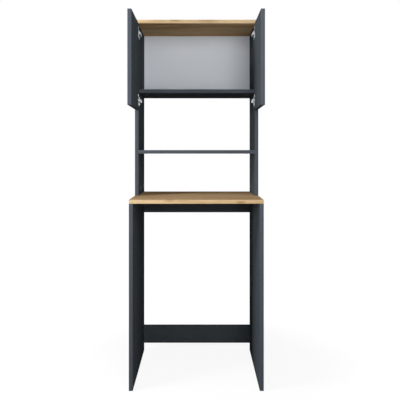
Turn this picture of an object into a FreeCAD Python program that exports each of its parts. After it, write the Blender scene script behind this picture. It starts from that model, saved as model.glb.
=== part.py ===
"""Free-standing washing machine cabinet, modelled in millimetres with +Z up.

Two deep side boards carry a worktop over the bay for the machine. Two shallower
side boards stand on the rear of the worktop and carry an open shelf, a cupboard
with two hinged doors and a top board. The front faces -Y. The origin lies on the
floor, under the middle of the box round the whole object with its doors open.
"""

import FreeCAD
import Part
import os
import re

# Driving dimensions
SIZES = {
    "cabinet_width": 650,
    "cabinet_height": 1844,
    "lower_depth": 540,
    "upper_depth": 295,
    "board": 19,
    "edging": 1,
    "worktop_height": 923,
    "shelf_height": 1163,
    "cupboard_floor_height": 1483,
    "top_overhang": 24,
    "rail_height": 100,
    "lower_rail_gap": 50,
    "back_thickness": 3,
    "back_inset": 3,
    "door_drop": 89.5,
    "door_top_gap": 1.5,
    "door_reveal": 4,
    "door_meeting_gap": 3,
    "door_setoff": 3.5,
    "pivot_from_edge": 8.5,
    "pivot_depth": 10,
    "upper_hinge_inset": 46,
    "lower_hinge_inset": 50,
    "cup_radius": 17.5,
    "cup_depth": 13.5,
    "cup_wall": 0.8,
    "cup_margin": 3,
    "flange_thickness": 1.2,
    "flange_length": 64,
    "flange_width": 15,
    "flange_rim": 1.5,
    "cup_screw_spacing": 48,
    "cup_screw_offset": 6,
    "pin_radius": 1.25,
    "eye_radius": 2.4,
    "arm_width": 12,
    "arm_sheet": 2.5,
    "arm_wall": 1.5,
    "arm_height": 12,
    "arm_length": 58,
    "neck_clearance": 7.5,
    "plate_thickness": 2,
    "plate_setback": 37,
    "plate_width": 20,
    "plate_length": 54,
    "plate_rail_length": 38,
    "plate_screw_spacing": 32,
    "arm_screw_spacing": 20,
    "fit": 0.1,
    "running_fit": 0.05,
    "cam_radius": 7.5,
    "cam_depth": 12.5,
    "cam_reach": 34,
    "cam_bolt_radius": 3.5,
    "cam_bolt_tip": 2,
    "cam_bolt_thread": 2.5,
    "cam_bolt_depth": 11,
    "cam_cover_radius": 8.5,
    "cam_cover_thickness": 1,
    "dowel_radius": 4,
    "dowel_length": 30,
    "dowel_face_depth": 12,
    "dowel_pitch": 32,
    "lower_front_inset": 60,
    "lower_rear_inset": 100,
    "upper_front_inset": 100,
    "upper_rear_inset": 45,
    "rail_screw_inset": 25,
    "rail_screw_length": 50,
    "rail_screw_radius": 3,
    "rail_screw_head": 5,
    "screw_cap_radius": 6.5,
    "screw_cap_thickness": 1.5,
    "nail_radius": 0.8,
    "nail_head": 2.6,
    "nail_length": 22,
    "nail_margin": 40,
    "glide_radius": 8,
    "glide_height": 2.5,
    "glide_nail_radius": 1.2,
    "glide_nail_length": 14,
    "glide_inset": 40,
    "bracket_inset": 75,
    "bracket_screw_setback": 17,
    "bracket_width": 24,
    "bracket_leg": 28,
    "bracket_sheet": 2,
    "wall_hole_radius": 2.75,
    "wall_hole_height": 18,
    "small_screw_radius": 1.75,
    "small_screw_head": 3.4,
    "small_screw_head_height": 1.8,
    "small_screw_length": 12,
    "plate_screw_radius": 2.4,
    "plate_screw_head": 4,
}

# Places worked out from the driving dimensions
LAYOUT = {
    "half_width": "cabinet_width / 2",
    "inner_half": "half_width - board",
    "side_middle": "half_width - board / 2",
    "door_width": "half_width - door_reveal - door_meeting_gap / 2",
    "hinge_clearance": "door_setoff + pivot_depth - pivot_from_edge",
    "reach": "upper_depth + hinge_clearance + door_width + back_thickness",
    "rear": "reach / 2 - back_thickness",
    "wall_plane": "reach / 2",
    "lower_front": "rear - lower_depth",
    "upper_front": "rear - upper_depth",
    "top_front": "upper_front - top_overhang",
    "worktop_under": "worktop_height - board",
    "shelf_under": "shelf_height - board",
    "cupboard_floor_under": "cupboard_floor_height - board",
    "top_under": "cabinet_height - board",
    "upper_rail_bottom": "worktop_under - rail_height",
    "lower_rail_top": "lower_rail_gap + rail_height",
    "pivot_x": "half_width - door_reveal - pivot_from_edge",
    "pivot_y": "upper_front - door_setoff - pivot_depth",
    "door_inner": "pivot_x - pivot_depth",
    "door_outer": "door_inner + board",
    "door_hinge_edge": "pivot_y + pivot_from_edge",
    "door_free_edge": "door_hinge_edge - door_width",
    "door_top": "top_under - door_top_gap",
    "door_bottom": "cupboard_floor_under - door_drop",
    "upper_hinge_level": "door_top - upper_hinge_inset",
    "lower_hinge_level": "door_bottom + lower_hinge_inset",
    "cup_bore": "cup_radius - cup_wall",
    "cup_middle": "door_hinge_edge - cup_margin - cup_radius",
    "cup_screw_line": "cup_middle - cup_screw_offset",
    "pin_half_length": "sqrt(cup_radius^2 - (pivot_y - cup_middle + pin_radius)^2) - fit",
    "neck_x": "inner_half - neck_clearance",
    "arm_face": "inner_half - arm_height",
    "arm_end": "upper_front + arm_length",
    "plate_middle": "upper_front + plate_setback",
    "plate_rail_face": "arm_face + arm_wall",
    "nail_low": "cupboard_floor_under + board / 2",
    "nail_high": "top_under + board / 2",
    "bracket_hole_z": "cabinet_height + wall_hole_height",
    "bracket_middle": "half_width - bracket_inset",
    "bracket_screw_y": "wall_plane - bracket_screw_setback",
}

doc = FreeCAD.newDocument("washing_machine_cabinet")

PLACES = {alias: f"Sizes.{alias}" for alias in SIZES}
PLACES.update({alias: f"Layout.{alias}" for alias in LAYOUT})
WORD = re.compile(r"[a-z][a-z0-9_]*")


def full(expression):
    """Return an expression with each alias led by the name of its sheet."""
    return WORD.sub(lambda match: PLACES.get(match.group(0), match.group(0)), expression)


def fill_sheet(name, rows):
    """Make a sheet with one aliased cell in column B for each row."""
    sheet = doc.addObject("Spreadsheet::Sheet", name)
    for row, (alias, content) in enumerate(rows.items(), start=1):
        sheet.set(f"A{row}", alias)
        sheet.set(f"B{row}", content)
        sheet.setAlias(f"B{row}", alias)
    return sheet


fill_sheet("Sizes", {alias: str(value) for alias, value in SIZES.items()})
doc.recompute()
fill_sheet("Layout", {alias: "=" + full(formula) for alias, formula in LAYOUT.items()})
doc.recompute()

UP = FreeCAD.Vector(0, 0, 1)
DIRECTIONS = {
    "+x": FreeCAD.Vector(1, 0, 0),
    "-x": FreeCAD.Vector(-1, 0, 0),
    "+y": FreeCAD.Vector(0, 1, 0),
    "-y": FreeCAD.Vector(0, -1, 0),
    "+z": FreeCAD.Vector(0, 0, 1),
    "-z": FreeCAD.Vector(0, 0, -1),
}
SIDES = {"left": -1, "right": 1}
LEVELS = {"upper": "upper_hinge_level", "lower": "lower_hinge_level"}

nodes = []
drillings = {}
groups = {}


def on_side(side, expression):
    """Return an X coordinate, given for the right side, on either side."""
    return expression if SIDES[side] > 0 else f"-({expression})"


def side_span(side, low, high):
    """Return an X span, given for the right side, on either side."""
    return (low, high) if SIDES[side] > 0 else (f"-({high})", f"-({low})")


def outward(side):
    """Return the direction from the middle plane to a side."""
    return "+x" if SIDES[side] > 0 else "-x"


def inward(side):
    """Return the direction from a side to the middle plane."""
    return "-x" if SIDES[side] > 0 else "+x"


def opposite(direction):
    """Return the direction that points the other way."""
    return ("-" if direction[0] == "+" else "+") + direction[1]


def centred(middle, width):
    """Return the span of a width about its middle."""
    return f"{middle} - ({width}) / 2", f"{middle} + ({width}) / 2"


def block(name, x_span, y_span, z_span):
    """Make a box between three pairs of bound coordinates."""
    item = doc.addObject("Part::Box", name)
    spans = zip(("Length", "Width", "Height"), "xyz", (x_span, y_span, z_span))
    for size, axis, (low, high) in spans:
        item.setExpression(size, full(f"({high}) - ({low})"))
        item.setExpression(f"Placement.Base.{axis}", full(low))
    return item


def turned(name, direction, start, steps):
    """Make a turned piece of coaxial steps.

    Each step is (radius, length), or (first radius, last radius, length) for a
    cone, and starts where the step before it ends.
    """
    rotation = FreeCAD.Rotation(UP, DIRECTIONS[direction])
    sign, axis = direction
    travelled = "0"
    items = []
    for number, step in enumerate(steps):
        if len(step) == 2:
            item = doc.addObject("Part::Cylinder", f"{name}_step_{number}")
            item.setExpression("Radius", full(step[0]))
        else:
            item = doc.addObject("Part::Cone", f"{name}_step_{number}")
            item.setExpression("Radius1", full(step[0]))
            item.setExpression("Radius2", full(step[1]))
        item.setExpression("Height", full(step[-1]))
        item.Placement = FreeCAD.Placement(FreeCAD.Vector(), rotation)
        for letter, place in zip("xyz", start):
            shift = f" {sign} ({travelled})" if letter == axis else ""
            item.setExpression(f"Placement.Base.{letter}", full(f"{place}{shift}"))
        items.append(item)
        travelled = f"{travelled} + {step[-1]}"
    return fused(name, items)


def fused(name, items):
    """Return one solid of several, or the only one under its own name."""
    if len(items) == 1:
        return items[0]
    whole = doc.addObject("Part::MultiFuse", name)
    whole.Shapes = items
    whole.Refine = True
    return whole


def cut(name, base, tools):
    """Return a base with tools taken out of it."""
    piece = doc.addObject("Part::Cut", name)
    piece.Base = base
    piece.Tool = fused(f"{name}_tools", tools)
    return piece


def node(item, label):
    """Keep a finished piece as a node of the assembly."""
    item.Label = label
    nodes.append(item)
    return item


def drill(board_name, direction, start, steps):
    """Note a stepped hole for a board that is cut later."""
    tools = drillings.setdefault(board_name, [])
    tools.append(turned(f"{board_name}_hole_{len(tools)}", direction, start, steps))


def add_to_group(label, direction, start, steps):
    """Add one more of a repeated turned piece to its group."""
    members = groups.setdefault(label, [])
    members.append(turned(f"{label}_{len(members)}", direction, start, steps))
    return members[-1]


def domed(radius, height):
    """Return the steps of a button with a bevelled top."""
    return [(radius, f"{height} / 2"), (radius, f"{radius} - {height} / 2", f"{height} / 2")]


# Boards, each without its edging
BOARDS = {
    "worktop": (
        ("edging - half_width", "half_width - edging"),
        ("lower_front + edging", "rear"),
        ("worktop_under", "worktop_height"),
    ),
    "top_board": (
        ("edging - half_width", "half_width - edging"),
        ("top_front + edging", "rear"),
        ("top_under", "cabinet_height"),
    ),
    "middle_shelf": (
        ("-inner_half", "inner_half"),
        ("upper_front + edging", "rear"),
        ("shelf_under", "shelf_height"),
    ),
    "cupboard_floor": (
        ("-inner_half", "inner_half"),
        ("upper_front + edging", "rear"),
        ("cupboard_floor_under", "cupboard_floor_height"),
    ),
    "upper_rail": (
        ("-inner_half", "inner_half"),
        ("rear - board", "rear"),
        ("upper_rail_bottom + edging", "worktop_under"),
    ),
    "lower_rail": (
        ("-inner_half", "inner_half"),
        ("rear - board", "rear"),
        ("lower_rail_gap + edging", "lower_rail_top - edging"),
    ),
}
for side in SIDES:
    BOARDS[f"{side}_lower_side"] = (
        side_span(side, "inner_half", "half_width"),
        ("lower_front + edging", "rear"),
        ("glide_height", "worktop_under"),
    )
    BOARDS[f"{side}_upper_side"] = (
        side_span(side, "inner_half", "half_width"),
        ("upper_front + edging", "rear"),
        ("worktop_height", "top_under"),
    )
    BOARDS[f"{side}_door"] = (
        side_span(side, "door_inner", "door_outer"),
        ("door_free_edge + edging", "door_hinge_edge - edging"),
        ("door_bottom + edging", "door_top - edging"),
    )

BACK_SPANS = (
    ("back_inset - half_width", "half_width - back_inset"),
    ("rear", "rear + back_thickness"),
    ("cupboard_floor_under + back_inset", "cabinet_height - back_inset"),
)


# Cam fittings: a bolt in the face of one board, drawn into a cam in the next
CAM_BOLT_COLLAR = "cam_reach - cam_radius"
CAM_BOLT_END = "cam_radius + cam_bolt_tip"


def cam_fitting(face_board, cam_board, along, face_point, cam_face, cam_direction):
    """Join the face of one board to the edge of the next.

    Args:
        face_board: Board that takes the thread of the bolt in its face.
        cam_board: Board that holds the cam and the bore of the bolt.
        along: Direction of the bolt, from the face into the edge.
        face_point: Point where the bolt leaves the face.
        cam_face: Axis letter and coordinate of the face that the cam sits in.
        cam_direction: Direction from that face into the board.
    """
    back = opposite(along)
    drill(face_board, back, face_point, [("cam_bolt_thread + fit", "cam_bolt_depth + fit")])
    bore = f"cam_reach + {CAM_BOLT_END} - cam_radius"
    drill(cam_board, along, face_point, [("cam_bolt_radius + fit", bore)])
    centre = dict(zip("xyz", face_point))
    centre[along[1]] = f"{centre[along[1]]} {along[0]} cam_reach"
    centre[cam_face[0]] = cam_face[1]
    seat = tuple(centre[letter] for letter in "xyz")
    drill(cam_board, cam_direction, seat, [("cam_radius + fit", "cam_depth + fit")])

    thread_start = dict(zip("xyz", face_point))
    thread_start[along[1]] = f"{thread_start[along[1]]} {back[0]} cam_bolt_depth"
    bolt_start = tuple(thread_start[letter] for letter in "xyz")
    add_to_group(
        "cam_bolts",
        along,
        bolt_start,
        [
            ("cam_bolt_thread", "cam_bolt_depth"),
            ("cam_bolt_radius", CAM_BOLT_COLLAR),
            ("cam_bolt_tip", "cam_radius - cam_bolt_tip"),
            ("cam_bolt_radius", "2 * cam_bolt_tip"),
        ],
    )

    number = len(groups.setdefault("cam_locks", []))
    body = turned(f"cam_lock_{number}_body", cam_direction, seat, [("cam_radius", "cam_depth")])
    way = turned(f"cam_lock_{number}_way", along, face_point, [("cam_bolt_radius + fit", bore)])
    groups["cam_locks"].append(cut(f"cam_lock_{number}", body, [way]))
    cover = domed("cam_cover_radius", "cam_cover_thickness")
    add_to_group("cam_covers", opposite(cam_direction), seat, cover)


def dowel(face_board, edge_board, along, face_point):
    """Set a wooden dowel between the face of one board and the edge of the next."""
    back = opposite(along)
    drill(face_board, back, face_point, [("dowel_radius + fit", "dowel_face_depth + fit")])
    edge_depth = "dowel_length - dowel_face_depth + fit"
    drill(edge_board, along, face_point, [("dowel_radius + fit", edge_depth)])
    start = dict(zip("xyz", face_point))
    start[along[1]] = f"{start[along[1]]} {back[0]} dowel_face_depth"
    place = tuple(start[letter] for letter in "xyz")
    add_to_group("wooden_dowels", along, place, [("dowel_radius", "dowel_length")])


LOWER_FITTING_PLACES = {
    "lower_front + lower_front_inset": "lower_front + lower_front_inset + dowel_pitch",
    "rear - lower_rear_inset": "rear - lower_rear_inset - dowel_pitch",
}
UPPER_FITTING_PLACES = {
    "upper_front + upper_front_inset": "upper_front + upper_front_inset + dowel_pitch",
    "rear - upper_rear_inset": "rear - upper_rear_inset - dowel_pitch",
}


def join_upright(face_board, side_board, side, along, level, places):
    """Join the end of an upright side board to a board that lies across it."""
    middle = on_side(side, "side_middle")
    cam_face = ("x", on_side(side, "inner_half"))
    for cam_place, dowel_place in places.items():
        cam_fitting(face_board, side_board, along, (middle, cam_place, level), cam_face, outward(side))
        dowel(face_board, side_board, along, (middle, dowel_place, level))


def join_shelf(side_board, shelf_board, side, under):
    """Join the end of a shelf to the inner face of an upright side board."""
    face = on_side(side, "inner_half")
    level = f"{under} + board / 2"
    for cam_place, dowel_place in UPPER_FITTING_PLACES.items():
        cam_fitting(side_board, shelf_board, inward(side), (face, cam_place, level), ("z", under), "+z")
        dowel(side_board, shelf_board, inward(side), (face, dowel_place, level))


def join_rail(side_board, rail_board, side, bottom):
    """Screw a rail to a lower side board from outside and cap the screws."""
    outside = on_side(side, "half_width")
    middle = "rear - board / 2"
    for level in (f"{bottom} + rail_screw_inset", f"{bottom} + rail_height - rail_screw_inset"):
        start = (outside, middle, level)
        in_rail = "rail_screw_length - board"
        head = ("rail_screw_head", "rail_screw_radius", "rail_screw_head - rail_screw_radius")
        head_hole = ("rail_screw_head + fit", "rail_screw_radius + fit", head[2])
        past_head = f"board - ({head[2]})"
        drill(side_board, inward(side), start, [head_hole, ("rail_screw_radius + fit", past_head)])
        end = (on_side(side, "inner_half"), middle, level)
        drill(rail_board, inward(side), end, [("rail_screw_radius + fit", f"{in_rail} + fit")])
        shank = ("rail_screw_radius", f"{past_head} + {in_rail}")
        add_to_group("rail_screws", inward(side), start, [head, shank])
        add_to_group("screw_caps", outward(side), start, domed("screw_cap_radius", "screw_cap_thickness"))


# Hinges: a cup in the door turns on a pin at the end of an arm on the side board
def hinge(side, level):
    """Make one hinge with the door standing open at a right angle."""
    label = f"{side}_{level}_hinge"
    height = LEVELS[level]
    to_door = outward(side)
    to_middle = inward(side)
    mouth = (on_side(side, "door_inner"), "cup_middle", height)

    shell = turned(f"{label}_cup_shell", to_door, mouth, [("cup_radius", "cup_depth")])
    rim = turned(f"{label}_cup_rim", to_middle, mouth, [("cup_radius + flange_rim", "flange_thickness")])
    wings = [
        block(
            f"{label}_cup_wings",
            side_span(side, "door_inner - flange_thickness", "door_inner"),
            centred("cup_screw_line", "flange_width"),
            centred(height, "flange_length - flange_width"),
        )
    ]
    for offset in ("- (flange_length - flange_width) / 2", "+ (flange_length - flange_width) / 2"):
        wing_end = (on_side(side, "door_inner"), "cup_screw_line", f"{height} {offset}")
        wing_step = [("flange_width / 2", "flange_thickness")]
        wings.append(turned(f"{label}_cup_wing_{len(wings)}", to_middle, wing_end, wing_step))
    mouth_outside = (on_side(side, "door_inner - flange_thickness"), "cup_middle", height)
    hollow_depth = "flange_thickness + cup_depth - cup_wall"
    hollow = turned(f"{label}_cup_hollow", to_door, mouth_outside, [("cup_bore", hollow_depth)])
    pin_foot = (on_side(side, "pivot_x"), "pivot_y", f"{height} - cup_radius")
    pin_way = turned(
        f"{label}_cup_pin_way", "+z", pin_foot, [("pin_radius + running_fit", "2 * cup_radius")]
    )
    cup_cuts = [hollow, pin_way]
    for offset in ("- cup_screw_spacing / 2", "+ cup_screw_spacing / 2"):
        place = f"{height} {offset}"
        seat = (on_side(side, "door_inner - flange_thickness"), "cup_screw_line", place)
        reach = "small_screw_length"
        hole = [("small_screw_radius + fit", f"{reach} + fit")]
        cup_cuts.append(turned(f"{label}_cup_screw_way_{len(cup_cuts)}", to_door, seat, hole))
        drill(f"{side}_door", to_door, seat, hole)
        head_start = on_side(side, "door_inner - flange_thickness - small_screw_head_height")
        add_to_group(
            f"{side}_cup_screws",
            to_door,
            (head_start, "cup_screw_line", place),
            [("small_screw_head", "small_screw_head_height"), ("small_screw_radius", reach)],
        )
    drill(f"{side}_door", to_door, mouth, [("cup_radius + fit", "cup_depth + fit")])
    blank = fused(f"{label}_cup_blank", [shell, rim, *wings])
    node(cut(f"{label}_cup", blank, cup_cuts), f"{label}_cup")

    pin_start = (on_side(side, "pivot_x"), "pivot_y", f"{height} - pin_half_length")
    add_to_group(f"{side}_hinge_pins", "+z", pin_start, [("pin_radius", "2 * pin_half_length")])

    across = centred(height, "arm_width")
    foot = f"{height} - arm_width / 2"
    sheet_low, sheet_high = centred("pivot_y", "arm_sheet")
    riser = ("upper_front + arm_sheet", "upper_front + 2 * arm_sheet")
    arm_pieces = [
        turned(
            f"{label}_arm_eye",
            "+z",
            (on_side(side, "pivot_x"), "pivot_y", foot),
            [("eye_radius", "arm_width")],
        ),
        turned(
            f"{label}_arm_bend",
            "+z",
            (on_side(side, "neck_x"), "pivot_y", foot),
            [("arm_sheet / 2", "arm_width")],
        ),
        block(f"{label}_arm_hook", side_span(side, "neck_x", "pivot_x"), (sheet_low, sheet_high), across),
        block(
            f"{label}_arm_neck",
            side_span(side, "neck_x - arm_sheet / 2", "neck_x + arm_sheet / 2"),
            ("pivot_y", riser[1]),
            across,
        ),
        block(
            f"{label}_arm_riser", side_span(side, "arm_face", "neck_x + arm_sheet / 2"), riser, across
        ),
        block(
            f"{label}_arm_web",
            side_span(side, "arm_face", "plate_rail_face"),
            (riser[0], "arm_end"),
            across,
        ),
    ]
    for edge, wall in (
        ("low", (f"{height} - arm_width / 2 - arm_wall", f"{height} - arm_width / 2")),
        ("high", (f"{height} + arm_width / 2", f"{height} + arm_width / 2 + arm_wall")),
    ):
        arm_pieces.append(
            block(
                f"{label}_arm_wall_{edge}",
                side_span(side, "arm_face", "inner_half - plate_thickness - arm_wall"),
                ("upper_front", "arm_end"),
                wall,
            )
        )
    eye_start = (on_side(side, "pivot_x"), "pivot_y", foot)
    arm_cuts = [
        turned(f"{label}_arm_pin_way", "+z", eye_start, [("pin_radius + running_fit", "arm_width")])
    ]

    base = block(
        f"{label}_plate_base",
        side_span(side, "inner_half - plate_thickness", "inner_half"),
        centred("plate_middle", "plate_width"),
        centred(height, "plate_length"),
    )
    rail = block(
        f"{label}_plate_rail",
        side_span(side, "plate_rail_face", "inner_half"),
        centred("plate_middle", "plate_rail_length"),
        centred(height, "arm_width - 2 * fit"),
    )
    plate_cuts = []
    for offset in ("- arm_screw_spacing / 2", "+ arm_screw_spacing / 2"):
        place = f"plate_middle {offset}"
        seat = (on_side(side, "arm_face"), place, height)
        reach = "arm_height - plate_thickness"
        hole = [("small_screw_radius + fit", reach)]
        arm_cuts.append(turned(f"{label}_arm_screw_way_{len(arm_cuts)}", to_door, seat, hole))
        plate_cuts.append(turned(f"{label}_plate_way_{len(plate_cuts)}", to_door, seat, hole))
        head_start = (on_side(side, "arm_face - small_screw_head_height"), place, height)
        add_to_group(
            "arm_screws",
            to_door,
            head_start,
            [
                ("small_screw_head", "small_screw_head_height"),
                ("small_screw_radius", f"{reach} - fit"),
            ],
        )
    for offset in ("- plate_screw_spacing / 2", "+ plate_screw_spacing / 2"):
        place = f"{height} {offset}"
        seat = (on_side(side, "inner_half - plate_thickness"), "plate_middle", place)
        hole = [("plate_screw_radius + fit", "small_screw_length + fit")]
        plate_cuts.append(turned(f"{label}_plate_way_{len(plate_cuts)}", to_door, seat, hole))
        drill(f"{side}_upper_side", to_door, seat, hole)
        head_start = on_side(side, "inner_half - plate_thickness - small_screw_head_height")
        add_to_group(
            "plate_screws",
            to_door,
            (head_start, "plate_middle", place),
            [
                ("plate_screw_head", "small_screw_head_height"),
                ("plate_screw_radius", "small_screw_length"),
            ],
        )
    node(cut(f"{label}_arm", fused(f"{label}_arm_blank", arm_pieces), arm_cuts), f"{label}_arm")
    node(cut(f"{label}_plate", fused(f"{label}_plate_blank", [base, rail]), plate_cuts), f"{label}_plate")


for side in SIDES:
    lower_side = f"{side}_lower_side"
    upper_side = f"{side}_upper_side"
    join_upright("worktop", lower_side, side, "-z", "worktop_under", LOWER_FITTING_PLACES)
    join_upright("worktop", upper_side, side, "+z", "worktop_height", UPPER_FITTING_PLACES)
    join_upright("top_board", upper_side, side, "-z", "top_under", UPPER_FITTING_PLACES)
    join_shelf(upper_side, "middle_shelf", side, "shelf_under")
    join_shelf(upper_side, "cupboard_floor", side, "cupboard_floor_under")
    join_rail(lower_side, "lower_rail", side, "lower_rail_gap")
    join_rail(lower_side, "upper_rail", side, "upper_rail_bottom")
    for level in LEVELS:
        hinge(side, level)

    # Glides nailed under the lower side boards
    for place in ("lower_front + glide_inset", "rear - glide_inset"):
        middle = on_side(side, "side_middle")
        seat = (middle, place, "glide_height")
        drill(lower_side, "+z", seat, [("glide_nail_radius + fit", "glide_nail_length + fit")])
        add_to_group(
            "floor_glides",
            "+z",
            (middle, place, "0"),
            [("glide_radius", "glide_height"), ("glide_nail_radius", "glide_nail_length")],
        )

    # Wall bracket on the rear of the top board
    bracket_middle = on_side(side, "bracket_middle")
    bracket_span = centred(bracket_middle, "bracket_width")
    flat_leg = block(
        f"{side}_wall_bracket_flat",
        bracket_span,
        ("wall_plane - bracket_leg", "wall_plane"),
        ("cabinet_height", "cabinet_height + bracket_sheet"),
    )
    upright_leg = block(
        f"{side}_wall_bracket_upright",
        bracket_span,
        ("wall_plane - bracket_sheet", "wall_plane"),
        ("cabinet_height", "cabinet_height + bracket_leg"),
    )
    seat_level = "cabinet_height + bracket_sheet"
    screw_seat = (bracket_middle, "bracket_screw_y", seat_level)
    screw_hole = [("small_screw_radius + fit", "small_screw_length + fit")]
    screw_way = turned(f"{side}_wall_bracket_screw_way", "-z", screw_seat, screw_hole)
    wall_seat = (bracket_middle, "wall_plane", "bracket_hole_z")
    wall_way = turned(f"{side}_wall_bracket_way", "-y", wall_seat, [("wall_hole_radius", "bracket_sheet")])
    bracket = fused(f"{side}_wall_bracket_blank", [flat_leg, upright_leg])
    node(cut(f"{side}_wall_bracket", bracket, [screw_way, wall_way]), f"{side}_wall_bracket")
    drill("top_board", "-z", screw_seat, screw_hole)
    head_level = f"{seat_level} + small_screw_head_height"
    add_to_group(
        "bracket_screws",
        "-z",
        (bracket_middle, "bracket_screw_y", head_level),
        [("small_screw_head", "small_screw_head_height"), ("small_screw_radius", "small_screw_length")],
    )


# Back panel, nailed to the rear edges of the cupboard
NAILS_UP_A_SIDE = 4
NAILS_ALONG_A_BOARD = 3


def nail(board_name, x_place, z_place):
    """Drive one flush nail through the back panel into a rear edge."""
    outer = (x_place, "rear + back_thickness", z_place)
    in_board = "nail_length - back_thickness"
    head = ("nail_head", "back_thickness / 4")
    recess = ("nail_head + fit", head[1])
    drill("back_panel", "-y", outer, [recess, ("nail_radius + fit", "back_thickness")])
    drill(board_name, "-y", (x_place, "rear", z_place), [("nail_radius + fit", f"{in_board} + fit")])
    add_to_group("back_panel_nails", "-y", outer, [head, ("nail_radius", f"nail_length - {head[1]}")])


for number in range(NAILS_UP_A_SIDE):
    share = f"{number} / {NAILS_UP_A_SIDE - 1}"
    z_low = "cupboard_floor_height + nail_margin"
    z_place = f"{z_low} + (top_under - nail_margin - ({z_low})) * {share}"
    for side in SIDES:
        nail(f"{side}_upper_side", on_side(side, "side_middle"), z_place)
for number in range(NAILS_ALONG_A_BOARD):
    share = f"{number} / {NAILS_ALONG_A_BOARD - 1} - 1 / 2"
    x_place = f"(inner_half - nail_margin) * 2 * ({share})"
    nail("cupboard_floor", x_place, "nail_low")
    nail("top_board", x_place, "nail_high")


# Edging strips, glued to the edges of the boards that show
def strip(group, name, x_span, y_span, z_span):
    """Add one strip of edging to its group."""
    groups.setdefault(group, []).append(block(name, x_span, y_span, z_span))


for board_name in ("worktop", "top_board"):
    front = "lower_front" if board_name == "worktop" else "top_front"
    z_span = BOARDS[board_name][2]
    y_span = BOARDS[board_name][1]
    front_span = (front, f"{front} + edging")
    strip("oak_edging", f"{board_name}_front_strip", ("-half_width", "half_width"), front_span, z_span)
    for side in SIDES:
        end_span = side_span(side, "half_width - edging", "half_width")
        strip("oak_edging", f"{board_name}_{side}_strip", end_span, y_span, z_span)
for board_name in ("middle_shelf", "cupboard_floor"):
    front_span = ("upper_front", "upper_front + edging")
    strip("grey_edging", f"{board_name}_strip", BOARDS[board_name][0], front_span, BOARDS[board_name][2])
RAIL_STRIPS = {
    "upper_rail": ("upper_rail_bottom",),
    "lower_rail": ("lower_rail_gap", "lower_rail_top - edging"),
}
for board_name, bottoms in RAIL_STRIPS.items():
    for number, bottom in enumerate(bottoms):
        z_span = (bottom, f"{bottom} + edging")
        x_span, y_span = BOARDS[board_name][:2]
        strip("grey_edging", f"{board_name}_strip_{number}", x_span, y_span, z_span)
for side in SIDES:
    for board_name, front in ((f"{side}_lower_side", "lower_front"), (f"{side}_upper_side", "upper_front")):
        x_span, _, z_span = BOARDS[board_name]
        strip("grey_edging", f"{board_name}_strip", x_span, (front, f"{front} + edging"), z_span)
    x_span, y_span, z_span = BOARDS[f"{side}_door"]
    group = f"{side}_door_edging"
    upright_span = ("door_bottom", "door_top")
    strip(group, f"{group}_hinge", x_span, ("door_hinge_edge - edging", "door_hinge_edge"), upright_span)
    strip(group, f"{group}_free", x_span, ("door_free_edge", "door_free_edge + edging"), upright_span)
    strip(group, f"{group}_top", x_span, y_span, ("door_top - edging", "door_top"))
    strip(group, f"{group}_bottom", x_span, y_span, ("door_bottom", "door_bottom + edging"))

# Boards with their holes, and the groups
BOARDS["back_panel"] = BACK_SPANS
for board_name, spans in BOARDS.items():
    blank = block(f"{board_name}_blank", *spans)
    node(cut(board_name, blank, drillings[board_name]), board_name)
for label, members in groups.items():
    bundle = doc.addObject("Part::Compound", label)
    bundle.Links = members
    node(bundle, label)

doc.recompute()

# Tests before anything is written
for item in doc.Objects:
    if {"Invalid", "Error"} & set(item.State):
        raise RuntimeError(f"{item.Name} failed: {item.State}")
for item in nodes:
    if item.Shape.isNull() or not item.Shape.isValid():
        raise RuntimeError(f"{item.Label} has no valid shape")

os.makedirs("parts", exist_ok=True)
for item in nodes:
    item.Shape.exportStep(f"parts/{item.Label}.step")
    print(f"{item.Label}: {len(item.Shape.Solids)} solids, {item.Shape.Volume:.1f} mm3")
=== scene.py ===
"""Looks of a free-standing washing machine cabinet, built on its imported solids.

The boards keep their solids and get decor, core and bump. Edge bands, hinges, screws,
caps and glides are new surfaces, worked out on grids of two parameters.
Lengths are in metres, +Z is up and the front faces -Y.
"""

import logging
import math
from dataclasses import dataclass, field
from enum import Enum
from typing import Sequence

import bmesh
import bpy
import numpy as np
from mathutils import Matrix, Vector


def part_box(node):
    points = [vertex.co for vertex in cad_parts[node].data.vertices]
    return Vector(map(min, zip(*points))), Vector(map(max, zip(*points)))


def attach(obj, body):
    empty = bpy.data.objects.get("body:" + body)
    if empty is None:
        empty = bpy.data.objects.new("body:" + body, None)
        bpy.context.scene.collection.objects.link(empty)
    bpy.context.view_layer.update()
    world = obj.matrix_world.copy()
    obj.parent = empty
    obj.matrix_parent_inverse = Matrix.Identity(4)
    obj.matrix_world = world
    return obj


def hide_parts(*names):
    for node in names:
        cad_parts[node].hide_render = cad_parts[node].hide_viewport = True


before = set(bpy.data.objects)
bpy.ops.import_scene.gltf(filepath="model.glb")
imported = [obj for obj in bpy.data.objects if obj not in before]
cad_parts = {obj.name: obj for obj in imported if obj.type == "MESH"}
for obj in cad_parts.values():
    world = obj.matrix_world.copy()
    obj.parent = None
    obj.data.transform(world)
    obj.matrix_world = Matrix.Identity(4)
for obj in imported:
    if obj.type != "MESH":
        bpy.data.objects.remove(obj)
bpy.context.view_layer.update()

LOG = logging.getLogger("cabinet")
# Mesh attribute of the roundings of edges, masking the painted edge highlight and the bands' wear.
EDGE_HIGHLIGHT_AND_WEAR = "edge_wear"
SMOOTH_ANGLE = math.radians(32)
MERGE_DISTANCE = 2e-7
UP = np.array([0.0, 0.0, 1.0])
PAINTED: dict[str, bpy.types.Material] = {}

Socket = bpy.types.NodeSocket
Triple = tuple[float, float, float]
Colour = Triple


class Axis(Enum):
    """The three directions of the frame, as indices into a vector."""

    X = 0
    Y = 1
    Z = 2


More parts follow.
